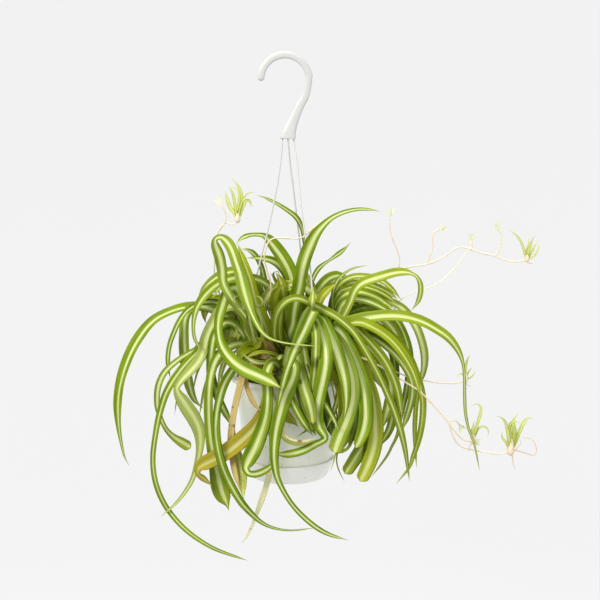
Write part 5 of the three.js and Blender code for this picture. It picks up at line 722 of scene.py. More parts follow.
def from_view(rows):
    """Places in space for route rows that start with across, down and depth."""
    a = (rows[:, 0] - VIEW_CENTRE) / VIEW_FOCAL
    b = (rows[:, 1] - VIEW_CENTRE) / VIEW_FOCAL
    ray = np.stack([
        a, cos(VIEW_PITCH) - b * sin(VIEW_PITCH), -sin(VIEW_PITCH) - b * cos(VIEW_PITCH)], 1)
    return EYE + ray * ((rows[:, 2] - EYE[1]) / ray[:, 1])[:, None]


def place_of(across, down, depth):
    return from_view(np.array([[across, down, depth]], float))[0]


def as_row(place, width):
    """A place in space as a route row, for the hidden start of a leaf or stalk."""
    d = np.asarray(place, float) - EYE
    forward = d[1] * cos(VIEW_PITCH) - d[2] * sin(VIEW_PITCH)
    rise = d[1] * sin(VIEW_PITCH) + d[2] * cos(VIEW_PITCH)
    return [VIEW_CENTRE + VIEW_FOCAL * d[0] / forward, VIEW_CENTRE - VIEW_FOCAL * rise / forward,
            place[1], width * VIEW_FOCAL / forward]


def smooth(points, steps=FINE_STEPS):
    """The rows on a smooth curve through the points."""
    points = np.asarray(points, float)
    opened = np.vstack([2 * points[0] - points[1], points, 2 * points[-1] - points[-2]])
    a, b, c, d = opened[:-3], opened[1:-2], opened[2:-1], opened[3:]
    rows = [0.5 * (2 * b + (c - a) * t + (2 * a - 5 * b + 4 * c - d) * t * t
                   + (3 * b - a - 3 * c + d) * t ** 3) for t in np.arange(steps) / steps]
    return np.vstack([np.stack(rows, 1).reshape(-1, points.shape[1]), points[-1]])


def run_along(places):
    """The length run at each of a line's places."""
    return np.concatenate([[0], np.cumsum(np.linalg.norm(np.diff(places, axis=0), axis=1))])


def resampled(rows, run, count):
    """The rows at even steps of the length run."""
    at = np.linspace(0, run[-1], count + 1)
    return np.stack([np.interp(at, run, column) for column in rows.T], 1)


def evenly(fine, step):
    """Rows at even steps along a route's length in space, and that length."""
    run = run_along(from_view(fine))
    return resampled(fine, run, max(FEWEST_STEPS, int(run[-1] / step + 0.5))), run[-1]


def traced_rows(item, width=None):
    shares = np.linspace(0, 1, len(item["points"]))
    depths = np.interp(shares, np.linspace(0, 1, len(item["depths"])), item["depths"])
    return [[p[0], p[1], depth, width or p[2]] for p, depth in zip(item["points"], depths)]


def core_radius(group):
    return DRY_CORE_RADIUS if group == "dry" else CORE_RADIUS


def leaf_route(item, group):
    """A leaf starts at its crown's stump, on the side where it is first seen."""
    x, y = CROWNS[group][0]
    traced = traced_rows(item)
    first, end = place_of(*traced[0][:3]), place_of(*traced[-1][:3])
    out = np.array([first[0] - x, first[1] - y, 0])
    out /= np.linalg.norm(out)
    scale = core_radius(group) / CORE_RADIUS
    roots = [as_row(np.array([x, y, height]) + out * inset * scale, width * scale)
             for inset, height, width in zip(ROOT_INSET, ROOT_HEIGHT, ROOT_WIDTH)]
    rows, length = evenly(smooth(roots + traced), SAMPLE_STEP)
    aside = abs(end[0] - x)
    tilt = TILT * aside / (aside + abs(end[1] - y))
    taper = TIP_TAPER if item["points"][-1][2] < BLUNT_WIDTH else BLUNT_TAPER
    return {"group": group, "kind": "leaf", "rows": rows, "length": length, "tilt": tilt, "taper": taper}


def stalk_route(item):
    x, y = item["foot"]
    feet = [as_row((x, y, z), item["radius"] * 2)
            for z in (STALK_FOOT_Z, *(SOIL_Z + rise for rise in STALK_FOOT_RISES))]
    traced = traced_rows(item, item["radius"] * STALK_SEEN_WIDTH)
    rows, length = evenly(smooth(feet + traced), SAMPLE_STEP)
    return {"group": item["name"], "kind": "stalk", "rows": rows, "length": length, "tilt": 0}


def rim_place(azimuth):
    angle = radians(azimuth)
    return POT_X + WIRE_HOLE_RADIUS * cos(angle), WIRE_HOLE_RADIUS * sin(angle)


def wire_line(wire):
    """A wire's line: straight in the block, along its route, and straight down through the rim."""
    rim_x, rim_y = rim_place(wire["azimuth"])
    x = BLOCK_X + wire["side"] * WIRE_SPACING
    span = []
    for across, down in wire["points"]:
        flat = place_of(across, down, 0)
        span.append(place_of(across, down, rim_y * (BLOCK_Z - flat[2]) / (BLOCK_Z - RIM_Z)))
    free = smooth([(x, 0, BLOCK_Z - WIRE_STRAIGHT), *span, (rim_x, rim_y, RIM_Z + WIRE_STRAIGHT)])
    return np.vstack([(x, 0, BLOCK_Z + WIRE_SOCKET - 2 * GAP), free,
                      (rim_x, rim_y, RIM_UNDER_Z - BEAD_HEIGHT)])


def wire_route(wire):
    line = wire_line(wire)
    run = run_along(line)
    rows = np.array([as_row(place, WIRE_RADIUS * 4) for place in resampled(line, run, WIRE_SAMPLES)])
    return {"group": wire["name"], "kind": "wire", "rows": rows, "length": run[-1], "tilt": 0}


def wall_radius(z):
    share = (z - SAUCER_RIM_Z) / (RIM_Z - SAUCER_RIM_Z)
    return WALL_LOW_RADIUS + (WALL_TOP_RADIUS - WALL_LOW_RADIUS) * share


# Leaves that would meet are moved apart in depth

def freedom_at(route, run):
    """How freely samples move in depth: not at a root or a stalk's end, and never along a wire."""
    if route["kind"] == "wire":
        return np.zeros_like(run)
    root = np.clip((run - ROOT_HELD) / ROOT_EASING, 0, 1)
    if route["kind"] == "stalk":
        return np.minimum(root, np.clip((route["length"] - run) / END_EASING, 0, None))
    return root


def gather(routes):
    """All the samples of all the routes in one table."""
    parts = []
    for index, route in enumerate(routes):
        rows = route["rows"]
        run = np.linspace(0, route["length"], len(rows))
        place = from_view(rows)
        parts.append({
            "route": np.full(len(rows), index), "across": rows[:, 0], "down": rows[:, 1],
            "start": rows[:, 2], "run": run, "half": rows[:, 3] * view_scale(place) / 2,
            "lean": np.full(len(rows), tan(route["tilt"])), "freedom": freedom_at(route, run),
            "place": place})
    return {key: np.concatenate([part[key] for part in parts]) for key in parts[0]}


def near_pairs(table, routes):
    """The samples of two routes that lie close in the view, and the depth that they need between."""
    group = np.array([route["group"] for route in routes])[table["route"]]
    half, root = table["half"], table["run"] < ROOT_FREE
    apart = np.hypot(table["across"][:, None] - table["across"], table["down"][:, None] - table["down"])
    apart *= MM_PER_STEP
    reach = np.maximum(half[:, None] + half + SIDE_CLEARANCE, LEAST_REACH)
    i, j = np.nonzero(np.triu(apart < reach, 1) & (table["route"][:, None] != table["route"]))
    keep = ~((group[i] == group[j]) & root[i] & root[j])
    i, j = i[keep], j[keep]
    leaning = half * table["lean"]
    room = np.where(group[i] == group[j], CLEARANCE, NODE_CLEARANCE) + TILT_ROOM * (leaning[i] + leaning[j])
    return i, j, room * np.sqrt(1 - (apart[i, j] / reach[i, j]) ** 2)


def order_pairs(table, i, j, count):
    """+1 where the first of a pair lies behind: as drawn, or as for the whole of both routes."""
    drawn = table["start"][i] - table["start"][j]
    key = table["route"][i] * count + table["route"][j]
    sums = np.bincount(key, drawn, count * count)
    return np.where(np.where(np.abs(drawn) > PLAIN_ORDER, drawn, sums[key]) >= 0, 1.0, -1.0)


def pot_limits(table):
    """How far from the pot's axis plane each sample must stay, so that it hangs outside the pot."""
    x, y, z = table["place"].T
    wall = np.maximum(wall_radius(z), SAUCER_RIM_RADIUS) + POT_CLEARANCE
    rim = np.where(z > RIM_UNDER_Z - RIM_CLEARANCE * 2, RIM_RADIUS + RIM_CLEARANCE, 0)
    clear = np.maximum(wall, rim) + table["half"] * table["lean"] * POT_LEAN_ROOM
    left = clear ** 2 - (x - POT_X) ** 2
    inside = (np.hypot(x - POT_X, y) < WALL_LOW_RADIUS) & (table["run"] < ROOT_FREE)
    use = (z <= RIM_Z + RIM_CLEARANCE) & (left > 0) & ~inside
    return np.where(use, np.sqrt(np.maximum(left, 0)), 0)


def settle(routes):
    """Moves the samples of the routes in depth until those that pass each other have their room."""
    table = gather(routes)
    i, j, need = near_pairs(table, routes)
    sign = order_pairs(table, i, j, len(routes))
    limits = pot_limits(table)
    freedom, start, route = table["freedom"], table["start"], table["route"]
    size = len(start)
    shift = np.zeros(size)
    share = freedom[i] + freedom[j]
    inner = np.zeros(size, bool)
    inner[1:-1] = (route[:-2] == route[1:-1]) & (route[2:] == route[1:-1])
    held = (limits > 0) & (freedom > 0)
    for _ in range(RELAX_ROUNDS):
        gap = sign * (start[i] + shift[i] - start[j] - shift[j])
        short = (gap < need) & (share > 0)
        amount = (sign * (need - gap))[short] / share[short]
        push = np.bincount(i[short], amount, size) - np.bincount(j[short], amount, size)
        count = np.bincount(i[short], minlength=size) + np.bincount(j[short], minlength=size)
        shift += freedom * push / np.maximum(count, 1)
        mean = shift.copy()
        mean[1:-1] = (shift[:-2] + shift[2:]) / 2
        shift += np.where(inner, DRAG * np.minimum(1, freedom * 2) * (mean - shift), 0)
        caught = held & (np.abs(start + shift) < limits)
        shift = np.where(caught, np.where(start > 0, limits, -limits) - start, shift)
    at = 0
    for each in routes:
        rows = each["rows"]
        rows[:, 2] = (start + shift)[at:at + len(rows)]
        at += len(rows)


@lru_cache(maxsize=None)
def settled_routes():
    """Every leaf's and stalk's route by its name, moved clear of each other and of the wires."""
    routes = {item["name"]: leaf_route(item, group)
              for group, (_, leaves) in CROWNS.items() for item in leaves}
    routes |= {item["name"]: stalk_route(item) for item in STALKS}
    routes |= {item["name"]: wire_route(item) for item in WIRES}
    settle(list(routes.values()))
    small = {item["name"]: leaf_route(item, group)
             for group, leaves in SMALL_LEAVES.items() for item in leaves}
    settle([*small.values(), *({**route, "kind": "wire"} for route in routes.values())])
    return routes | small


# Blades

def unit(vectors):
    return vectors / np.maximum(np.linalg.norm(vectors, axis=-1, keepdims=True), 1e-9)


def neighbours(rows):
    """The row before and the row after each row, or the row itself at an end."""
    return np.vstack([rows[0], rows[:-1]]), np.vstack([rows[1:], rows[-1]])


def ways_along(places):
    before, after = neighbours(places)
    return unit(after - before)


def seen_sides(places, ways):
    """The way across a blade as the view shows it, without a sudden turn where it comes forward."""
    sight = unit(places - EYE)
    raw = np.cross(ways, sight)
    for k in range(1, len(raw)):
        if raw[k] @ raw[k - 1] < 0:
            raw[k] = -raw[k]
    outer = int(len(places) * SETTLED_SHARE)
    facing = -np.sum(np.cross(ways[outer:], raw[outer:]) * sight[outer:])
    index = np.arange(len(raw))
    side = sum(raw[np.clip(index + offset, 0, len(raw) - 1)] * (3 - abs(offset))
               for offset in (-2, -1, 0, 1, 2))
    side = unit(side - ways * np.sum(side * ways, 1, keepdims=True))
    return -side if facing < 0 else side


def leaf_frames(route):
    """Along a leaf: its places, the ways across it, turned by its tilt, and the half widths."""
    places, tilt = from_view(route["rows"]), route["tilt"]
    halves = np.maximum(route["rows"][:, 3] * view_scale(places) / 2 * WIDTH_SWELL, THINNEST_HALF)
    ways = ways_along(places)
    sides = seen_sides(places, ways)
    turn = -tilt if sides[:, 2].sum() > 0 else tilt
    across = sides * cos(turn) + unit(np.cross(ways, sides)) * sin(turn)
    before, after = neighbours(ways)
    start, end = neighbours(places)
    bend = np.abs(np.sum((after - before) * across, 1)) / np.linalg.norm(end - start, axis=1)
    half = np.minimum(halves / cos(turn), CURVE_ROOM / np.maximum(bend, 1e-6))
    return {"place": places, "across": across, "half": half}


def random_from(seed):
    """The draws that the frame's source makes too: each call gives a number from low to high."""
    factor, size = 16807, 2147483647
    state = seed

    def draw(low, high):
        nonlocal state
        state = (state * factor) % size
        return low + (high - low) * (state / size)
    return draw


def back_frames(at, azimuth, reach, width, rise):
    """A back leaf rises from its crown, arches over and falls, and narrows to a point."""
    angle = radians(azimuth)
    out = np.array([cos(angle), sin(angle), 0])
    across = np.array([-out[1], out[0], 0])
    count = int(reach / SAMPLE_STEP + 0.5)
    share = np.arange(count + 1) / count
    slope = rise + (BACK_FALL - rise) * np.minimum(1, share * 1.15) ** 0.8
    way = out * np.cos(slope)[:, None] + np.array([0, 0, 1]) * np.sin(slope)[:, None]
    start = np.array([*at, ROOT_HEIGHT[0]]) + out * ROOT_INSET[0]
    places = start + np.vstack([np.zeros(3), np.cumsum(way[:-1], axis=0)]) * SAMPLE_STEP
    swell = np.minimum(1, 0.5 + share * 4) * (1 - share ** 3 * 0.95)
    return {"place": places, "across": np.tile(across, (count + 1, 1)), "half": width / 2 * swell}


def clear_of_wires(frames, spots):
    gaps = np.linalg.norm(frames["place"][:, None] - spots, axis=2)
    return np.all(gaps > frames["half"][:, None] + BACK_WIRE_ROOM)


def clear_of_pot(frames):
    x, y, z = frames["place"][BACK_NECK:].T
    beside = np.hypot(x - POT_X, y) > RIM_RADIUS + frames["half"][BACK_NECK:] * BACK_LEAN + BACK_POT_ROOM
    return np.all((z > RIM_Z + BACK_RIM_ROOM) | beside)


def back_leaves(at):
    draw = random_from(BACK_SEED)
    spots = np.vstack([from_view(wire_route(wire)["rows"]) for wire in WIRES])
    leaves = []
    for i in range(BACK_DRAWS):
        slot = ((i + draw(0.1, 0.9)) * BACK_ROUNDS / BACK_DRAWS) % 1
        azimuth = BACK_SPREAD[0] + (BACK_SPREAD[1] - BACK_SPREAD[0]) * slot
        frames = back_frames(at, azimuth, draw(*BACK_REACH), draw(*BACK_WIDTH), draw(*BACK_RISE))
        if clear_of_wires(frames, spots) and clear_of_pot(frames):
            leaves.append(frames)
    return leaves


def finer(frames):
    """The same blade with closer stations on a smooth line, and its upper side."""
    table = smooth(np.hstack([frames["place"], frames["across"], frames["half"][:, None]]), BLADE_REFINE)
    places, across = table[:, :3], table[:, 3:6]
    ways = ways_along(places)
    across = unit(across - ways * np.sum(across * ways, 1, keepdims=True))
    return places, across, np.cross(ways, across), np.maximum(table[:, 6], LEAST_HALF)


# Meshes from rings of points, in millimetres

class Batch:
    """Points and faces gathered for one mesh, with what its material reads from them."""

    def __init__(self):
        self.points, self.quads, self.caps, self.maps, self.tones = [], [], [], [], []
        self.count = 0

    def add(self, points, ring, across, along, tone):
        """Adds a closed body of rings, with its map across and along it and its tone."""
        rows = len(points) // ring
        i, j = np.divmod(np.arange((rows - 1) * ring), ring)
        after = (j + 1) % ring
        quads = np.stack([i * ring + j, i * ring + after, (i + 1) * ring + after, (i + 1) * ring + j], 1)
        first = np.arange(ring) + self.count
        step = np.append(across, 2.0)
        corners = ((j, i), (j + 1, i), (j + 1, i + 1), (j, i + 1))
        self.points.append(points)
        self.quads.append(quads + self.count)
        self.caps += [first[::-1].tolist(), (first + (rows - 1) * ring).tolist()]
        self.maps.append(np.stack([np.stack([step[a], along[b]], 1) for a, b in corners], 1))
        self.tones.append(np.tile(tone, (len(points), 1)) if np.ndim(tone) == 1 else tone)
        self.count += len(points)

    def build(self, name):
        mesh = bpy.data.meshes.new(name)
        points = np.vstack(self.points) * MM
        mesh.from_pydata(points.tolist(), [], np.vstack(self.quads).tolist() + self.caps)
        capped = np.zeros((sum(len(cap) for cap in self.caps), 2))
        flat = np.vstack([*(block.reshape(-1, 2) for block in self.maps), capped])
        mesh.uv_layers.new(name="Route").data.foreach_set("uv", flat.ravel())
        tone = mesh.color_attributes.new("tone", "FLOAT_COLOR", "POINT")
        tone.data.foreach_set("color", np.vstack(self.tones).astype(np.float32).ravel())
        mesh.shade_smooth()
        mesh.update()
        return mesh


def blade_body(batch, frames, tone, rng, thickness=BLADE_THICKNESS, channel=BLADE_CHANNEL, ruffle=0.5,
               taper=TIP_TAPER):
    """A closed blade: channelled along its middle, thin at its edges and drawn to a point."""
    place, across, upper, half = finer(frames)
    along = run_along(place)
    left = along[-1] - along
    half = half * np.clip(left / taper, 0.02, 1) ** 0.7
    turn = np.arange(2 * BLADE_CELLS) / BLADE_CELLS
    s = 1 - 2 * np.abs(1 - turn)
    body = np.where(turn < 1, -1, 1) * (1 - np.abs(s) ** 4) * thickness / 2
    sag = -2 * channel * (1 - np.abs(s) ** 1.35)
    waves = [np.sin(along / length + phase) * share
             for (length, share), phase in zip(RIPPLES, rng.uniform(0, TURN, 4))]
    edges = np.where(s > 0, (waves[0] + waves[1])[:, None], (waves[2] + waves[3])[:, None])
    ripple = edges * np.abs(s) ** 3 * ruffle * np.clip(half / RUFFLED_HALF, 0, 1)[:, None]
    lift = sag * half[:, None] + body * np.clip(left / THIN_END, 0.15, 1)[:, None] + ripple
    ring = place[:, None] + across[:, None] * (half[:, None] * s)[:, :, None]
    ring = ring + upper[:, None] * lift[:, :, None]
    tones = blade_tones(along, tone)
    # Each blade's third tone varies a little at random: painted shade on a green blade, dark spots on a dry
    # one
    tones[:, 2] = np.clip(tones[:, 2] + rng.uniform(-0.08, 0.12), 0, 1)
    batch.add(ring.reshape(-1, 3), 2 * BLADE_CELLS, turn, along / MAP_UNIT + rng.uniform(0, 40),
              np.repeat(tones, 2 * BLADE_CELLS, axis=0))


def blade_tones(along, tone):
    """A blade's look along it: older towards its tip and its root, and paler at its root."""
    tones = np.tile(np.asarray(tone, float), (len(along), 1))
    near_tip = np.clip((along / along[-1] - 0.9) / 0.1, 0, 1)
    near_root = np.clip(1 - along / OLD_ROOT, 0, 1)
    older = tones[:, 1] + TIP_AGE * near_tip + ROOT_AGE * near_root
    tones[:, 1] = np.clip(older, 0, max(tone[1], OLDEST_GREEN))
    tones[:, 3] = np.clip(tones[:, 3] + ROOT_PALE * near_root, 0, 1)
    return tones


def tube_body(batch, places, radii, tone=(0, 0, 0, 0), sides=TUBE_SIDES, start=0.0):
    """A closed round body along the places."""
    places = np.asarray(places, float)
    ways = ways_along(places)
    side = np.array([0.0, 1.0, 0.0])
    first = []
    for way in ways:
        side = side - way * (side @ way)
        side = side / np.linalg.norm(side)
        first.append(side)
    first = np.array(first)
    angle = np.arange(sides) / sides * 2 * pi
    ring = places[:, None] + np.asarray(radii)[:, None, None] * (
        first[:, None] * np.cos(angle)[:, None] + np.cross(ways, first)[:, None] * np.sin(angle)[:, None])
    batch.add(ring.reshape(-1, 3), sides, np.arange(sides) * 2 / sides,
              run_along(places) / MAP_UNIT + start, np.asarray(tone, float))


def upright_body(batch, at, heights, widths, tone, sides):
    """A round body that stands at a place, from its heights and radii."""
    places = np.stack([np.full(len(heights), at[0]), np.full(len(heights), at[1]), heights], 1)
    tube_body(batch, places, widths, tone, sides)


def linked(name, data):
    """A new object in the scene."""
    made = bpy.data.objects.new(name, data)
    bpy.context.scene.collection.objects.link(made)
    return made


def put_on_plant(piece, material, node):
    """A piece with its finish: it rides on the one body and stands for the node named."""
    piece.data.materials.append(material)
    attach(piece, "root")
    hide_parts(node)


def leaf_tone(tone, rng):
    """A leaf's own look, or one drawn near the plain look."""
    if tone is None:
        tone = np.array(PLAIN_TONE) + np.append(rng.uniform(-0.08, 0.08, 3), rng.uniform(0, 0.08))
    return np.clip(tone, 0, 1) * (STRIPE_SCALE, 1, 1, 1)


def crown_mesh(group):
    """All the blades of one crown, and the short stump they rise from."""
    rng = np.random.default_rng(TONE_SEED + sorted(CROWNS).index(group))
    at, traced = CROWNS[group]
    batch = Batch()
    heights = np.array([-2, 0, 4, 9, 14, 19, 22, 24.5, 25]) + SOIL_Z
    widths = np.array([1, 1, 0.98, 0.94, 0.9, 0.85, 0.78, 0.5, 0.1]) * core_radius(group)
    upright_body(batch, at, heights, widths, CORE_TONE, CORE_SIDES)
    for item in traced + SMALL_LEAVES[group]:
        route = settled_routes()[item["name"]]
        frames = leaf_frames(route)
        if group == "dry":
            frames["half"] *= DRY_SHRINK
            blade_body(batch, frames, item["tone"], rng, thickness=DRY_THICKNESS, channel=DRY_CHANNEL,
                       ruffle=DRY_RUFFLE)
        else:
            blade_body(batch, frames, leaf_tone(item["tone"], rng), rng, taper=route["taper"])
    if group == "centre":
        for frames in back_leaves(at):
            blade_body(batch, frames, leaf_tone(None, rng), rng)
    return batch.build(f"leaves_{group}")


def branch_line(branch, rows):
    """A branch leaves its stalk at the stalk's own depth and ends at the branch's."""
    points = np.array(branch["points"], float)
    near = np.argmin(np.hypot(rows[:, 0] - points[0, 0], rows[:, 1] - points[0, 1]))
    depths = np.linspace(rows[near, 2], branch["depth"], len(points))
    return smooth(from_view(np.hstack([points, depths[:, None]])))


def joint_swell(count, spots, reach=1.2):
    """How much a stalk swells at each of its places: a little at its joints."""
    index = np.arange(count)
    return 1 + JOINT_SWELL * sum(np.exp(-((index - spot) / reach) ** 2) for spot in spots)


def runner_mesh(item):
    """One stalk with its side branches, its joints and the small bracts at them."""
    rng = np.random.default_rng(STALK_SEED + STALKS.index(item))
    rows = settled_routes()[item["name"]]["rows"]
    x, y = item["foot"]
    places = from_view(rows)
    places = places[(places[:, 2] > SOIL_Z + 10) | (np.arange(len(places)) > 6)]
    places = smooth(np.vstack([(x, y, STALK_FOOT_Z), (x, y, SOIL_Z + 3), places]), 3)
    ways = ways_along(places)
    count = len(places)
    radii = item["radius"] * (1 - STALK_TAPER * np.arange(count) / count)
    joints = np.arange(rng.integers(*JOINT_START), count - 6, rng.integers(*JOINT_STEP))
    batch = Batch()
    tube_body(batch, places, radii * joint_swell(count, joints), (0, item["tint"], 0, 0),
              start=rng.uniform(0, 9))
    for branch in (each for each in BRANCHES if each["on"] == item["name"]):
        line = branch_line(branch, rows)
        count = len(line)
        radius = branch["radius"] * (1 - BRANCH_TAPER * np.arange(count) / count)
        tube_body(batch, line, radius * joint_swell(count, [count - 3], 3),
                  (branch["pale"], item["tint"] + 0.2, 0, 0), start=rng.uniform(0, 9))
        tuft_bodies(batch, line[-1], ways_along(line)[-1], rng)
    if item["name"] == "bud_stem":
        tuft_bodies(batch, places[-1], ways[-1], rng)
    for spot in joints:
        bract_body(batch, places[spot], ways[spot], radii[spot], rng)
    return batch.build(item["name"])


def small_blade(batch, places, across, halves, tone, rng, taper):
    """One of the short stiff leaves on a stalk."""
    frames = {"place": places, "across": np.tile(across, (len(places), 1)), "half": halves}
    blade_body(batch, frames, tone, rng, thickness=SMALL_THICKNESS, ruffle=0, taper=taper)


def tuft_bodies(batch, place, way, rng):
    """The few small pale leaves that open at the end of a branch."""
    side = unit(np.cross(way, (0, 1, 0)))
    share = np.linspace(0, 1, len(TUFT_HALVES))[:, None]
    for spread in TUFT_SPREADS:
        reach = rng.uniform(*TUFT_REACH)
        bend = side * spread * share ** 1.4 + np.array([0, -1, 0]) * rng.uniform(-0.3, 0.3) * share
        small_blade(batch, place + (way * share + bend) * reach, side, TUFT_HALVES, TUFT_TONE, rng,
                    BLUNT_TAPER)


def bract_body(batch, place, way, radius, rng):
    """A small dry scale that clasps a stalk at a joint."""
    lean = unit(np.cross(way, unit(rng.normal(size=3))))
    share = np.linspace(0, 1, len(BRACT_HALVES))[:, None]
    places = place + lean * radius * (0.6 + 1.1 * share ** 1.5) + way * share * BRACT_LENGTH
    small_blade(batch, places, np.cross(way, lean), radius * BRACT_HALVES, BROWN_TONE, rng, TIP_TAPER)


def plantlet_mesh(item):
    """A young rosette of fine blades."""
    rng = np.random.default_rng(PLANTLET_SEED + PLANTLETS.index(item))
    batch = Batch()
    *base, width = item["base"]
    for each in item["leaves"]:
        rows, _ = evenly(smooth([[*base, width * 0.6], *traced_rows(each)]), SAMPLE_STEP / 2)
        tone = np.array(YOUNG_TONE) + np.append(rng.uniform(-0.1, 0.12, 2), [0, 0])
        frames = leaf_frames({"rows": rows, "tilt": 0})
        frames["half"] *= YOUNG_SHRINK
        blade_body(batch, frames, tone.clip(0, 1), rng, thickness=YOUNG_THICKNESS, ruffle=0.15)
    return batch.build(item["name"])


def plantlet_base_mesh(item):
    """A rosette's straw-coloured base, and the roots that hang from it."""
    batch, rng = Batch(), np.random.default_rng(TONE_SEED)
    *base, width = item["base"]
    centre = place_of(*base)
    radius = width * float(view_scale(centre)[0]) / 2
    heights = np.array([-1.2, -1.0, -0.6, 0, 0.9, 1.8, 2.6, 3.2]) * radius + centre[2]
    widths = np.array([0.2, 0.55, 0.85, 1, 0.88, 0.72, 0.58, 0.3]) * radius
    upright_body(batch, centre, heights, widths, BASE_TONE, BASE_SIDES)
    for line in item["roots"]:
        fine = smooth(np.vstack([centre, from_view(np.array(line, float))]))
        count = len(fine)
        thick = ROOT_THICKNESS[0] - ROOT_THICKNESS[1] * np.arange(count) / count
        tube_body(batch, fine, thick * (1 + 0.12 * rng.normal(size=count)), BROWN_TONE,
                  start=rng.uniform(0, 9))
    return batch.build(item["name"] + "_base")


# Materials

def feed(tree, node, values):
    """Gives each named input of a node a link or a value, a colour as red, green and blue."""
    for key, value in values.items():
        socket = node.inputs[key]
        if isinstance(value, NodeSocket):
            tree.links.new(value, socket)
        else:
            socket.default_value = (*value, 1.0) if socket.type == "RGBA" else value


def add(tree, kind, inputs=None, **settings):
    """A node with its settings and its inputs fed."""
    node = tree.nodes.new(kind)
    for name, value in settings.items():
        setattr(node, name, value)
    feed(tree, node, inputs or {})
    return node


def reckon(tree, operation, *values, clamp=False):
    return add(tree, "ShaderNodeMath", dict(enumerate(values)), operation=operation,
               use_clamp=clamp).outputs[0]


def times(tree, first, second):
    return reckon(tree, "MULTIPLY", first, second)


def mix(tree, share, first, second, kind="MIX"):
    inputs = {0: share, 6: first, 7: second}
    return add(tree, "ShaderNodeMix", inputs, data_type="RGBA", blend_type=kind).outputs[2]


def ease(tree, value, low, high, start=0.0, end=1.0):
    inputs = {"Value": value, "From Min": low, "From Max": high, "To Min": start, "To Max": end}
    return add(tree, "ShaderNodeMapRange", inputs, interpolation_type="SMOOTHSTEP").outputs[0]


def new_group(name, takes, gives):
    """A node group with named inputs and outputs, each a (name, kind, default) or (name, kind)."""
    group = bpy.data.node_groups.new(name, "ShaderNodeTree")
    for title, kind, default in takes:
        socket = group.interface.new_socket(title, in_out="INPUT", socket_type="NodeSocket" + kind)
        if default is not None:
            socket.default_value = default
    for title, kind in gives:
        group.interface.new_socket(title, in_out="OUTPUT", socket_type="NodeSocket" + kind)
    return group, add(group, "NodeGroupInput").outputs, add(group, "NodeGroupOutput")


@lru_cache(maxsize=None)
def grain_group():
    """Streaks that run along a leaf or stalk: fine veins, wider streaks and broad changes of tone."""
    group, takes, gives = new_group("Lengthwise grain", [
        ("Route", "Vector", None), ("Lines", "Float", 22.0), ("Stretch", "Float", 1.2)],
        [("Fine", "Float"), ("Streaks", "Float"), ("Broad", "Float")])
    parts = add(group, "ShaderNodeSeparateXYZ", {0: takes["Route"]}).outputs
    across = reckon(group, "PINGPONG", parts[0], 1.0)

    def streaks(lines, stretch, detail):
        at = add(group, "ShaderNodeCombineXYZ", {
            0: times(group, across, lines), 1: times(group, parts[1], stretch)}).outputs[0]
        noise_of = {"Vector": at, "Scale": 1.0, "Detail": detail}
        return ease(group, add(group, "ShaderNodeTexNoise", noise_of).outputs[0], 0.3, 0.7)

    wide = times(group, takes["Lines"], 0.36)
    feed(group, gives, {
        "Fine": streaks(takes["Lines"], takes["Stretch"], 2.0), "Streaks": streaks(wide, 0.9, 1.0),
        "Broad": streaks(2.4, 2.2, 3.0)})
    return group


@lru_cache(maxsize=None)
def variegation_group():
    """A cream stripe along the middle of a leaf between green margins, paler underneath."""
    colours = {"Cream": CREAM, "Light green": LIGHT_GREEN, "Deep green": DEEP_GREEN,
               "Olive": OLIVE, "Amber": AMBER, "Underside": UNDERSIDE}
    group, takes, gives = new_group("Variegated leaf colour", [
        ("Route", "Vector", None), ("Tone", "Color", None), ("Pale", "Float", 0.0),
        *((title, "Color", (*colour, 1.0)) for title, colour in colours.items())],
        [("Color", "Color"), ("Veins", "Float")])
    light, below = takes["Light green"], takes["Underside"]
    stripe, age, shade = add(group, "ShaderNodeSeparateColor", {0: takes["Tone"]}).outputs
    place = add(group, "ShaderNodeSeparateXYZ", {0: takes["Route"]}).outputs[0]
    grain = add(group, "ShaderNodeGroup", node_tree=grain_group())
    feed(group, grain, {"Route": takes["Route"]})
    fine, streaks, broad = grain.outputs

    # The share of the cream stripe, from how far off the middle a point lies
    middle = reckon(group, "SUBTRACT", reckon(group, "PINGPONG", place, 1.0), 0.5)
    off = times(group, reckon(group, "ABSOLUTE", middle), 2.0)
    ragged = reckon(group, "MULTIPLY_ADD", fine, 0.10, reckon(group, "MULTIPLY_ADD", streaks, 0.20, off))
    edge = reckon(group, "SUBTRACT", reckon(group, "SUBTRACT", ragged, 0.15), stripe)
    striped = ease(group, stripe, 0.02, 0.12)
    cream_share = times(group, ease(group, edge, 0.16, -0.12), striped)
    glow = times(group, ease(group, edge, 0.48, 0.0), striped)

    # The green margins, lighter in places and by the stripe, with a painted highlight at the very edge
    green = mix(group, times(group, broad, 0.58), takes["Deep green"], light)
    green = mix(group, times(group, streaks, 0.25), green, light)
    green = mix(group, times(group, glow, 0.55), green, light)
    green = mix(group, times(group, ease(group, off, 0.88, 1.0), 0.30), green, light)
    old = mix(group, ease(group, age, 0.80, 1.0), takes["Olive"], takes["Amber"])
    green = mix(group, times(group, age, 0.92), green, old)

    # The stripe with its green veins, then paleness, the underside and painted shade over both
    veins = times(group, reckon(group, "SUBTRACT", 1.0, streaks), 0.34)
    cream = mix(group, times(group, age, 0.55), mix(group, veins, takes["Cream"], light), old)
    colour = mix(group, takes["Pale"], mix(group, cream_share, green, cream), below)
    under = reckon(group, "LESS_THAN", place, 1.0)
    paler = reckon(group, "MULTIPLY_ADD", age, -0.28, 0.28)
    colour = mix(group, times(group, under, paler), colour, below)
    dim = reckon(group, "MULTIPLY_ADD", shade, -0.62, 1.0)
    dimmed = add(group, "ShaderNodeCombineColor", {0: dim, 1: dim, 2: dim}).outputs[0]
    feed(group, gives, {"Color": mix(group, 1.0, colour, dimmed, "MULTIPLY"), "Veins": fine})
    return group


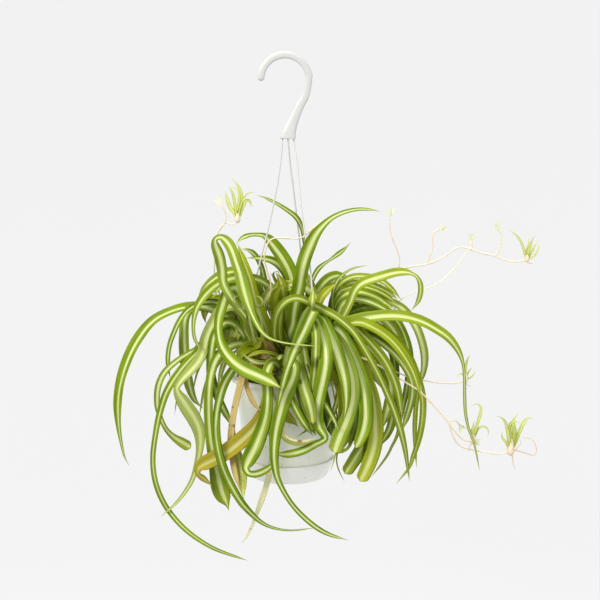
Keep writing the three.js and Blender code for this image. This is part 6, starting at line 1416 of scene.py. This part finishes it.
@lru_cache(maxsize=None)
def mottle_group():
    """Soft patches of wear and haze on a surface, at a chosen size."""
    group, takes, gives = new_group("Soft mottle", [
        ("Place", "Vector", None), ("Size", "Float", 20.0)], [("Patches", "Float"), ("Grain", "Float")])
    place, size = takes["Place"], takes["Size"]
    patches = add(group, "ShaderNodeTexNoise", {
        "Vector": place, "Scale": size, "Detail": 4.0, "Roughness": 0.55}).outputs[0]
    grain = add(group, "ShaderNodeTexNoise", {
        "Vector": place, "Scale": times(group, size, 24.0), "Detail": 2.0}).outputs[0]
    feed(group, gives, {"Patches": ease(group, patches, 0.3, 0.7), "Grain": grain})
    return group


def new_material(name):
    material = bpy.data.materials.new(name)
    material.use_nodes = True
    tree = material.node_tree
    return material, tree, next(node for node in tree.nodes if node.type == "BSDF_PRINCIPLED")


def bump_of(tree, height, depth, strength=1.0):
    inputs = {"Height": height, "Distance": depth, "Strength": strength}
    return add(tree, "ShaderNodeBump", inputs).outputs[0]


def route_of(tree):
    return add(tree, "ShaderNodeUVMap", uv_map="Route").outputs[0]


def tone_of(tree):
    return add(tree, "ShaderNodeAttribute", attribute_name="tone", attribute_type="GEOMETRY").outputs


def mottle_of(tree, size):
    place = add(tree, "ShaderNodeTexCoord").outputs["Object"]
    return add(tree, "ShaderNodeGroup", {0: place, 1: size}, node_tree=mottle_group()).outputs


def leaf_material(name, cream, light, deep):
    material, tree, shader = new_material(name)
    tone = tone_of(tree)
    look = add(tree, "ShaderNodeGroup", node_tree=variegation_group())
    feed(tree, look, {"Route": route_of(tree), "Tone": tone["Color"], "Pale": tone["Alpha"],
                      "Cream": cream, "Light green": light, "Deep green": deep})
    veins = look.outputs["Veins"]
    feed(tree, shader, {
        "Base Color": look.outputs["Color"], "Roughness": ease(tree, veins, 0.0, 1.0, 0.38, 0.52),
        "Specular IOR Level": 0.1, "Normal": bump_of(tree, veins, 0.0002, 0.5)})
    return material


def straw_material(name, light, dark, pale, rough, lines, spotted=0.0):
    """Dry leaves, stalks and roots: straw tones with a grain along their length."""
    material, tree, shader = new_material(name)
    bleached, darker, spots = add(tree, "ShaderNodeSeparateColor", {0: tone_of(tree)["Color"]}).outputs
    fine, streaks, broad = add(
        tree, "ShaderNodeGroup", {"Route": route_of(tree), "Lines": lines, "Stretch": 1.5},
        node_tree=grain_group()).outputs
    share = reckon(tree, "MULTIPLY_ADD", broad, 0.45, times(tree, darker, 0.5))
    share = reckon(tree, "MULTIPLY_ADD", streaks, 0.30, share, clamp=True)
    colour = mix(tree, bleached, mix(tree, share, light, dark), pale)
    specks = times(tree, ease(tree, mottle_of(tree, 70.0)["Patches"], 0.72, 0.98), spotted)
    feed(tree, shader, {
        "Base Color": mix(tree, reckon(tree, "MAXIMUM", specks, spots), colour, DRY_SPOT),
        "Roughness": ease(tree, fine, 0.0, 1.0, rough - 0.08, rough + 0.1),
        "Normal": bump_of(tree, fine, 0.0002, 0.6)})
    return material


def plastic_material(name, clean, dusty, rough, size, coat, specks=0.0):
    """Moulded plastic with faint haze, and small dark specks of soil on the pot."""
    material, tree, shader = new_material(name)
    patches, grain = mottle_of(tree, size)
    colour = mix(tree, times(tree, patches, 0.7), clean, dusty)
    if specks:
        dirt = times(tree, ease(tree, mottle_of(tree, 150.0)["Patches"], 0.985, 1.0), specks)
        colour = mix(tree, dirt, colour, POT_SPECK)
    feed(tree, shader, {
        "Base Color": colour, "Roughness": ease(tree, patches, 0.0, 1.0, rough, rough + 0.14),
        "Coat Weight": coat, "Coat Roughness": 0.2, "IOR": 1.49,
        "Normal": bump_of(tree, grain, 0.0001, 0.4)})
    return material


def soil_material():
    material, tree, shader = new_material("Potting soil")
    patches, grain = mottle_of(tree, 90.0)
    colour = mix(tree, patches, SOIL_DARK, SOIL_LIGHT)
    feed(tree, shader, {
        "Base Color": mix(tree, ease(tree, grain, 0.58, 0.7), colour, SOIL_STRAW),
        "Roughness": ease(tree, grain, 0.3, 0.7, 0.8, 1.0), "Normal": bump_of(tree, grain, 0.0015)})
    return material


# The holder

def only(piece):
    """Selects one piece alone, in object mode."""
    if bpy.context.object and bpy.context.object.mode != "OBJECT":
        bpy.ops.object.mode_set(mode="OBJECT")
    bpy.ops.object.select_all(action="DESELECT")
    piece.select_set(True)
    bpy.context.view_layer.objects.active = piece


def spun(name, outline, middle, steps, inside=False):
    """An outline of [x, z] in metres, turned round an upright axis at the middle."""
    mesh = bpy.data.meshes.new(name)
    mesh.from_pydata([(x, 0, z) for x, z in outline], [(i, i + 1) for i in range(len(outline) - 1)], [])
    piece = linked(name, mesh)
    only(piece)
    bpy.ops.object.mode_set(mode="EDIT")
    bpy.ops.mesh.select_all(action="SELECT")
    bpy.ops.mesh.spin(steps=steps, angle=2 * pi, center=(middle, 0, 0), axis=(0, 0, 1))
    bpy.ops.mesh.select_all(action="SELECT")
    bpy.ops.mesh.remove_doubles(threshold=MERGE_BELOW)
    bpy.ops.mesh.normals_make_consistent(inside=inside)
    bpy.ops.object.mode_set(mode="OBJECT")
    return piece


def turned(name, profile):
    """A closed body turned round the pot's axis from a profile of [radius, height]."""
    outline = [((POT_X + radius) * MM, height * MM) for radius, height in profile]
    return spun(name, outline, POT_X * MM, POT_STEPS)


def apply_modifier(piece, kind, **settings):
    only(piece)
    modifier = piece.modifiers.new(kind.title(), kind)
    for name, value in settings.items():
        setattr(modifier, name, value)
    bpy.ops.object.modifier_apply(modifier=modifier.name)


def round_edges(piece, width):
    apply_modifier(piece, "BEVEL", width=width, segments=3, limit_method="ANGLE",
                   angle_limit=ROUNDED_BEYOND)
    only(piece)
    bpy.ops.object.shade_smooth_by_angle(angle=SMOOTH_BELOW)


def pot_profile():
    inner = POT_FOOT_RADIUS - WALL
    floor = POT_FOOT_Z + WALL
    return [
        (0, POT_FOOT_Z), (POT_FOOT_RADIUS - 3, POT_FOOT_Z), (POT_FOOT_RADIUS, POT_FOOT_Z + 3),
        (WALL_LOW_RADIUS, SAUCER_RIM_Z), (wall_radius(RIM_UNDER_Z), RIM_UNDER_Z),
        (RIM_RADIUS, RIM_UNDER_Z), (RIM_RADIUS, RIM_Z), (WALL_TOP_RADIUS - WALL, RIM_Z),
        (WALL_LOW_RADIUS - WALL, SAUCER_RIM_Z), (inner, floor + 2), (inner - 3, floor), (0, floor)]


def saucer_profile():
    inner = POT_FOOT_RADIUS + GAP + 0.5
    lip = WALL_LOW_RADIUS + GAP
    floor = BOTTOM_Z + SAUCER_WALL
    return [
        (0, BOTTOM_Z), (SAUCER_BASE_RADIUS - 3, BOTTOM_Z), (SAUCER_BASE_RADIUS, BOTTOM_Z + 2.5),
        (SAUCER_RIM_RADIUS, SAUCER_RIM_Z - 1.2), (SAUCER_RIM_RADIUS - 0.7, SAUCER_RIM_Z),
        (lip, SAUCER_RIM_Z), (lip, SAUCER_RIM_Z - 1.2),
        (SAUCER_RIM_RADIUS - SAUCER_WALL, SAUCER_RIM_Z - 3), (inner, floor + 2), (inner - 1.5, floor),
        (0, floor)]


def cut_holes(piece, places, radius, low, high):
    """Drills round holes straight down through a piece."""
    for x, y in places:
        bpy.ops.object.select_all(action="DESELECT")
        bpy.ops.mesh.primitive_cylinder_add(
            vertices=HOLE_SIDES, radius=radius * MM, depth=(high - low) * MM,
            location=(x * MM, y * MM, (low + high) / 2 * MM))
        cutter = bpy.context.object
        apply_modifier(piece, "BOOLEAN", operation="DIFFERENCE", object=cutter, solver="EXACT")
        bpy.data.objects.remove(cutter)


def hook_line():
    """The hook's centre line from its tip to its block, as [x, z, width]."""
    radius = HOOK_INNER_RADIUS + HOOK_BAND / 2
    arc = [[radius * cos(radians(angle)), -HOOK_INNER_RADIUS + radius * sin(radians(angle)), HOOK_BAND]
           for angle in range(184, -7, -12)]
    shank = [[26.2, -46, HOOK_BAND + 1], [19.8, -58, HOOK_BAND + 1.5], [14, -71, HOOK_BAND + 2.5],
             [8.6, -84, HOOK_BAND + 5], [5, -94, BLOCK_WIDTH - 2], [BLOCK_X, BLOCK_Z, BLOCK_WIDTH]]
    return smooth(arc + shank, 5)


def squared(wave):
    """A round section's cosine or sine, drawn towards a square."""
    return np.sign(wave) * np.abs(wave) ** HOOK_SQUARENESS


def hook_mesh():
    """The hook's band, thickened into its block, with a rounded tip."""
    x, z, widths = hook_line().T
    places = np.stack([x, 0 * x, z], 1)
    ways = ways_along(places)
    ways[-1] = (0, 0, -1)
    across = np.cross(ways, (0, 1, 0))
    depths = HOOK_DEPTH + (BLOCK_DEPTH - HOOK_DEPTH) * (widths - HOOK_BAND) / (BLOCK_WIDTH - HOOK_BAND)
    run = run_along(places)
    round_tip = np.sqrt(np.clip(1 - (1 - np.clip(run / HOOK_TIP_ROUNDING, 0, 1)) ** 2, 0.02, 1))
    angle = -np.arange(HOOK_SIDES) / HOOK_SIDES * 2 * pi
    sides, faces = squared(np.cos(angle)), squared(np.sin(angle))
    ring = places[:, None] + across[:, None] * (widths * round_tip / 2)[:, None, None] * sides[:, None]
    ring = ring + np.array([0, 1, 0]) * (depths * round_tip / 2)[:, None, None] * faces[:, None]
    batch = Batch()
    batch.add(ring.reshape(-1, 3), HOOK_SIDES, np.arange(HOOK_SIDES) * 2 / HOOK_SIDES,
              run / MAP_UNIT, np.zeros(4))
    return batch.build("hook")


def wire_mesh(wire):
    """A wire, and the bead under the rim that keeps it in its hole."""
    line = wire_line(wire)
    batch = Batch()
    tube_body(batch, line, np.full(len(line), WIRE_RADIUS), sides=WIRE_SIDES)
    heights = RIM_UNDER_Z - GAP - BEAD_HEIGHT * np.array([0, 0.04, 0.2, 0.5, 0.8, 0.96, 1])
    widths = BEAD_RADIUS * np.array([0.5, 0.8, 0.96, 1, 0.96, 0.8, 0.5])
    upright_body(batch, rim_place(wire["azimuth"]), heights, widths, np.zeros(4), BEAD_SIDES)
    return batch.build(wire["name"])


def soil_piece():
    """Potting soil: a turned filling with an uneven top, and crumbs lying on it."""
    inset = WALL + GAP
    floor = POT_FOOT_Z + inset
    foot = POT_FOOT_RADIUS - inset
    top = wall_radius(SOIL_Z) - inset
    dome = SOIL_Z + SOIL_RISE
    rings = [(radius, dome) for radius in np.arange(top - SOIL_RING, 0, -SOIL_RING)]
    piece = turned("potting_soil", [
        (0, floor), (foot - 3.2, floor), (foot, floor + 3.2), (WALL_LOW_RADIUS - inset, SAUCER_RIM_Z),
        (top, SOIL_Z), *rings, (0, dome)])
    for vertex in piece.data.vertices:
        if vertex.co.z > (SOIL_Z + 1) * MM:
            place = vertex.co / MM
            bumps = sum(noise.noise(place / size) * rise for size, rise in SOIL_BUMPS)
            vertex.co.z += min(bumps, SOIL_PEAK) * MM
    add_crumbs(piece)
    return piece


def add_crumbs(soil):
    """Small broken lumps over the soil, each a squashed copy of one rough ball."""
    rng = np.random.default_rng(CRUMB_SEED)
    bpy.ops.object.select_all(action="DESELECT")
    bpy.ops.mesh.primitive_ico_sphere_add(subdivisions=2, radius=1, location=(0, 0, 0))
    ball = bpy.context.object
    shape = np.array([v.co for v in ball.data.vertices])
    shape *= 1 + CRUMB_ROUGHNESS * rng.normal(size=(len(shape), 1))
    faces = np.array([list(p.vertices) for p in ball.data.polygons])
    bpy.data.objects.remove(ball)
    points, polygons = [], []
    for i in range(CRUMBS):
        angle, out = rng.uniform(0, 2 * pi), (wall_radius(SOIL_Z) - CRUMB_INSET) * sqrt(rng.uniform(0, 1))
        size = rng.uniform(*CRUMB_SIZE) * rng.uniform(*CRUMB_SQUASH, 3)
        turn = np.array(Euler(rng.uniform(0, 2 * pi, 3)).to_matrix())
        place = (POT_X + out * cos(angle), out * sin(angle), SOIL_Z + CRUMB_RISE)
        points.append((shape * size) @ turn.T + place)
        polygons.append(faces + len(shape) * i)
    mesh = bpy.data.meshes.new("crumbs")
    mesh.from_pydata((np.vstack(points) * MM).tolist(), [], np.vstack(polygons).tolist())
    crumbs = linked("crumbs", mesh)
    only(soil)
    crumbs.select_set(True)
    bpy.ops.object.join()


# The stage

def make_stage(height):
    """A pale floor that curves up into a wall all round."""
    corner = [(STAGE_RADIUS + STAGE_CORNER * sin(angle), height + STAGE_CORNER * (1 - cos(angle)))
              for angle in np.linspace(0, pi / 2, 13)]
    outline = [(0, height), (1, height), *corner, (STAGE_RADIUS + STAGE_CORNER, STAGE_TOP)]
    stage = spun("stage", outline, 0, STAGE_STEPS, inside=True)
    bpy.ops.object.shade_smooth()
    material, tree, shader = new_material("Stage paper")
    patches = mottle_of(tree, 2.0)["Patches"]
    feed(tree, shader, {
        "Base Color": mix(tree, patches, STAGE_WHITE, tuple(c * 0.99 for c in STAGE_WHITE)),
        "Roughness": 0.95, "Specular IOR Level": 0.1, "Emission Color": (1, 1, 1),
        "Emission Strength": STAGE_GLOW})
    stage.data.materials.append(material)
    stage.visible_diffuse = False


def make_lights(power, surround):
    """The even light from all round, and the three soft lights."""
    world = bpy.data.worlds.new("Surround")
    bpy.context.scene.world = world
    world.use_nodes = True
    bpy.context.scene.view_settings.view_transform = "Standard"
    feed(world.node_tree, world.node_tree.nodes["Background"], {0: (1, 1, 1), 1: surround})
    for name, place, share, size in LIGHTS:
        data = bpy.data.lights.new(name, "AREA")
        data.energy = power * share
        data.size = size
        light = linked(name, data)
        light.location = place
        light.rotation_euler = (LIGHT_AIM - Vector(place)).to_track_quat("-Z", "Y").to_euler()


def make_camera():
    data = bpy.data.cameras.new("Camera")
    data.sensor_width = SENSOR_MM
    data.lens = SENSOR_MM * VIEW_FOCAL / VIEW_WIDTH
    camera = linked("Camera", data)
    camera.location = Vector(EYE * MM)
    camera.rotation_euler = (pi / 2 - VIEW_PITCH, 0, 0)
    bpy.context.scene.camera = camera


# Settings, operators and the panel

def colour_setting(name, description, default):
    return FloatVectorProperty(name=name, description=description, default=default, size=3,
                               min=0.0, max=1.0, subtype="COLOR")


class HolderSettings(PropertyGroup):
    bevel: FloatProperty(
        name="Edge rounding", description="Radius of the pot's and saucer's edges", default=0.0005,
        min=0.0, max=0.001, unit="LENGTH")
    pot_colour: colour_setting("Pot", "Colour of the pot's plastic", POT_WHITE)
    saucer_colour: colour_setting("Saucer", "Colour of the saucer's plastic", SAUCER_WHITE)
    hook_colour: colour_setting("Hook and wires", "Colour of the hook's and wires' plastic", HOOK_WHITE)


class FoliageSettings(PropertyGroup):
    cream: colour_setting("Cream stripe", "Colour of the stripe along a leaf", CREAM)
    light_green: colour_setting("Light green", "Lighter green of a leaf's margins", LIGHT_GREEN)
    deep_green: colour_setting("Deep green", "Darker green of a leaf's margins", DEEP_GREEN)


class StageSettings(PropertyGroup):
    floor_height: FloatProperty(
        name="Floor height", description="Height of the floor under the hanging plant", default=-1.5,
        unit="LENGTH")
    light_power: FloatProperty(
        name="Light power", description="Power of the main soft light", default=51.0, min=0.0,
        unit="POWER")
    surround: FloatProperty(
        name="Surround", description="Brightness of the even light from all round", default=0.68,
        min=0.0)


class PLANT_OT_stage(Operator):
    """Sets the pale seamless stage, the soft lights and the camera"""
    bl_idname = "plant.stage"
    bl_label = "Stage"

    def execute(self, context):
        settings = context.scene.plant_stage
        make_stage(settings.floor_height)
        make_lights(settings.light_power, settings.surround)
        make_camera()
        return {"FINISHED"}


class PLANT_OT_hook(Operator):
    """Lofts the white plastic hook that the set hangs from"""
    bl_idname = "plant.hook"
    bl_label = "Hook"

    def execute(self, context):
        material = plastic_material("Hook plastic", context.scene.plant_holder.hook_colour, HOOK_DUSTY,
                                    rough=0.3, size=30.0, coat=0.2)
        put_on_plant(linked("hook_moulding", hook_mesh()), material, "hook")
        return {"FINISHED"}


class PLANT_OT_wires(Operator):
    """Draws the three hanger wires from the hook's block to the pot's rim"""
    bl_idname = "plant.wires"
    bl_label = "Hanger wires"

    def execute(self, context):
        material = plastic_material("Wire plastic", context.scene.plant_holder.hook_colour, WIRE_DUSTY,
                                    rough=0.32, size=40.0, coat=0.1)
        for wire in WIRES:
            name = wire["name"]
            put_on_plant(linked(name + "_rod", wire_mesh(wire)), material, name)
        return {"FINISHED"}


class PLANT_OT_pot(Operator):
    """Turns the tapered pot with its rim, and drills the rim for the wires"""
    bl_idname = "plant.pot"
    bl_label = "Pot"

    def execute(self, context):
        settings = context.scene.plant_holder
        piece = turned("pot_wall", pot_profile())
        cut_holes(piece, [rim_place(wire["azimuth"]) for wire in WIRES], WIRE_RADIUS + WIRE_HOLE_ROOM,
                  RIM_UNDER_Z - 1, RIM_Z + 1)
        round_edges(piece, settings.bevel)
        material = plastic_material("Pot plastic", settings.pot_colour, POT_DUSTY, rough=0.3, size=14.0,
                                    coat=0.1, specks=0.7)
        put_on_plant(piece, material, "pot")
        return {"FINISHED"}


class PLANT_OT_saucer(Operator):
    """Turns the shallow saucer under the pot"""
    bl_idname = "plant.saucer"
    bl_label = "Saucer"

    def execute(self, context):
        settings = context.scene.plant_holder
        piece = turned("saucer_dish", saucer_profile())
        round_edges(piece, settings.bevel)
        material = plastic_material("Saucer plastic", settings.saucer_colour, SAUCER_DUSTY, rough=0.22,
                                    size=18.0, coat=0.2, specks=0.4)
        put_on_plant(piece, material, "saucer")
        return {"FINISHED"}


class PLANT_OT_soil(Operator):
    """Fills the pot with uneven, crumbly soil"""
    bl_idname = "plant.soil"
    bl_label = "Soil"

    def execute(self, context):
        put_on_plant(soil_piece(), soil_material(), "soil")
        return {"FINISHED"}


class PLANT_OT_leaves(Operator):
    """Grows the four crowns of striped leaves"""
    bl_idname = "plant.leaves"
    bl_label = "Leaves"

    def execute(self, context):
        settings = context.scene.plant_foliage
        material = leaf_material("Striped leaf", settings.cream, settings.light_green, settings.deep_green)
        for group in ("left", "centre", "right", "front"):
            put_on_plant(linked(f"blades_{group}", crown_mesh(group)), material, f"leaves_{group}")
        return {"FINISHED"}


class PLANT_OT_dry_leaves(Operator):
    """Adds the old dry leaves that hang over the front of the pot"""
    bl_idname = "plant.dry_leaves"
    bl_label = "Dry leaves"

    def execute(self, context):
        material = straw_material("Dry leaf", DRY_LIGHT, DRY_DARK, DRY_PALE, rough=0.6, lines=26.0,
                                  spotted=0.8)
        put_on_plant(linked("blades_dry", crown_mesh("dry")), material, "leaves_dry")
        return {"FINISHED"}


class PLANT_OT_runners(Operator):
    """Draws the thin stalks that carry the plantlets, with their joints and side branches"""
    bl_idname = "plant.runners"
    bl_label = "Runners"

    def execute(self, context):
        material = straw_material("Runner", STRAW_LIGHT, STRAW_DARK, BUD_PALE, rough=0.45, lines=6.0)
        for item in STALKS:
            name = item["name"]
            put_on_plant(linked(name + "_stalk", runner_mesh(item)), material, name)
        return {"FINISHED"}


class PLANT_OT_plantlets(Operator):
    """Grows the young rosettes on the runners, with their bases and roots"""
    bl_idname = "plant.plantlets"
    bl_label = "Plantlets"

    def execute(self, context):
        fresh = leaf_material("Young leaf", YOUNG_CREAM, YOUNG_LIGHT, YOUNG_DEEP)
        straw = straw_material("Plantlet base", STRAW_LIGHT, STRAW_DARK, BUD_PALE, rough=0.45, lines=8.0)
        for item in PLANTLETS:
            name = item["name"]
            put_on_plant(linked(name + "_blades", plantlet_mesh(item)), fresh, name)
            put_on_plant(linked(name + "_base", plantlet_base_mesh(item)), straw, name)
        return {"FINISHED"}


class PLANT_PT_panel(Panel):
    bl_label = "Hanging spider plant"
    bl_idname = "PLANT_PT_panel"
    bl_space_type = "VIEW_3D"
    bl_region_type = "UI"
    bl_category = "Plant"

    def draw(self, context):
        for name, group in SETTINGS.items():
            for setting in group.__annotations__:
                self.layout.prop(getattr(context.scene, name), setting)
        for operator in OPERATORS:
            self.layout.operator(operator.bl_idname)


SETTINGS = {"plant_holder": HolderSettings, "plant_foliage": FoliageSettings,
            "plant_stage": StageSettings}
OPERATORS = (
    PLANT_OT_stage, PLANT_OT_hook, PLANT_OT_wires, PLANT_OT_pot, PLANT_OT_saucer, PLANT_OT_soil,
    PLANT_OT_leaves, PLANT_OT_dry_leaves, PLANT_OT_runners, PLANT_OT_plantlets)


def register():
    for name, group in SETTINGS.items():
        bpy.utils.register_class(group)
        setattr(bpy.types.Scene, name, PointerProperty(type=group))
    for made in (*OPERATORS, PLANT_PT_panel):
        bpy.utils.register_class(made)


def unregister():
    for made in reversed((*OPERATORS, PLANT_PT_panel)):
        bpy.utils.unregister_class(made)
    for name, group in SETTINGS.items():
        delattr(bpy.types.Scene, name)
        bpy.utils.unregister_class(group)


def main():
    register()
    bpy.ops.plant.stage()
    bpy.ops.plant.hook()
    bpy.ops.plant.wires()
    bpy.ops.plant.pot()
    bpy.ops.plant.saucer()
    bpy.ops.plant.soil()
    bpy.ops.plant.leaves()
    bpy.ops.plant.dry_leaves()
    bpy.ops.plant.runners()
    bpy.ops.plant.plantlets()


if __name__ == "__main__":
    main()
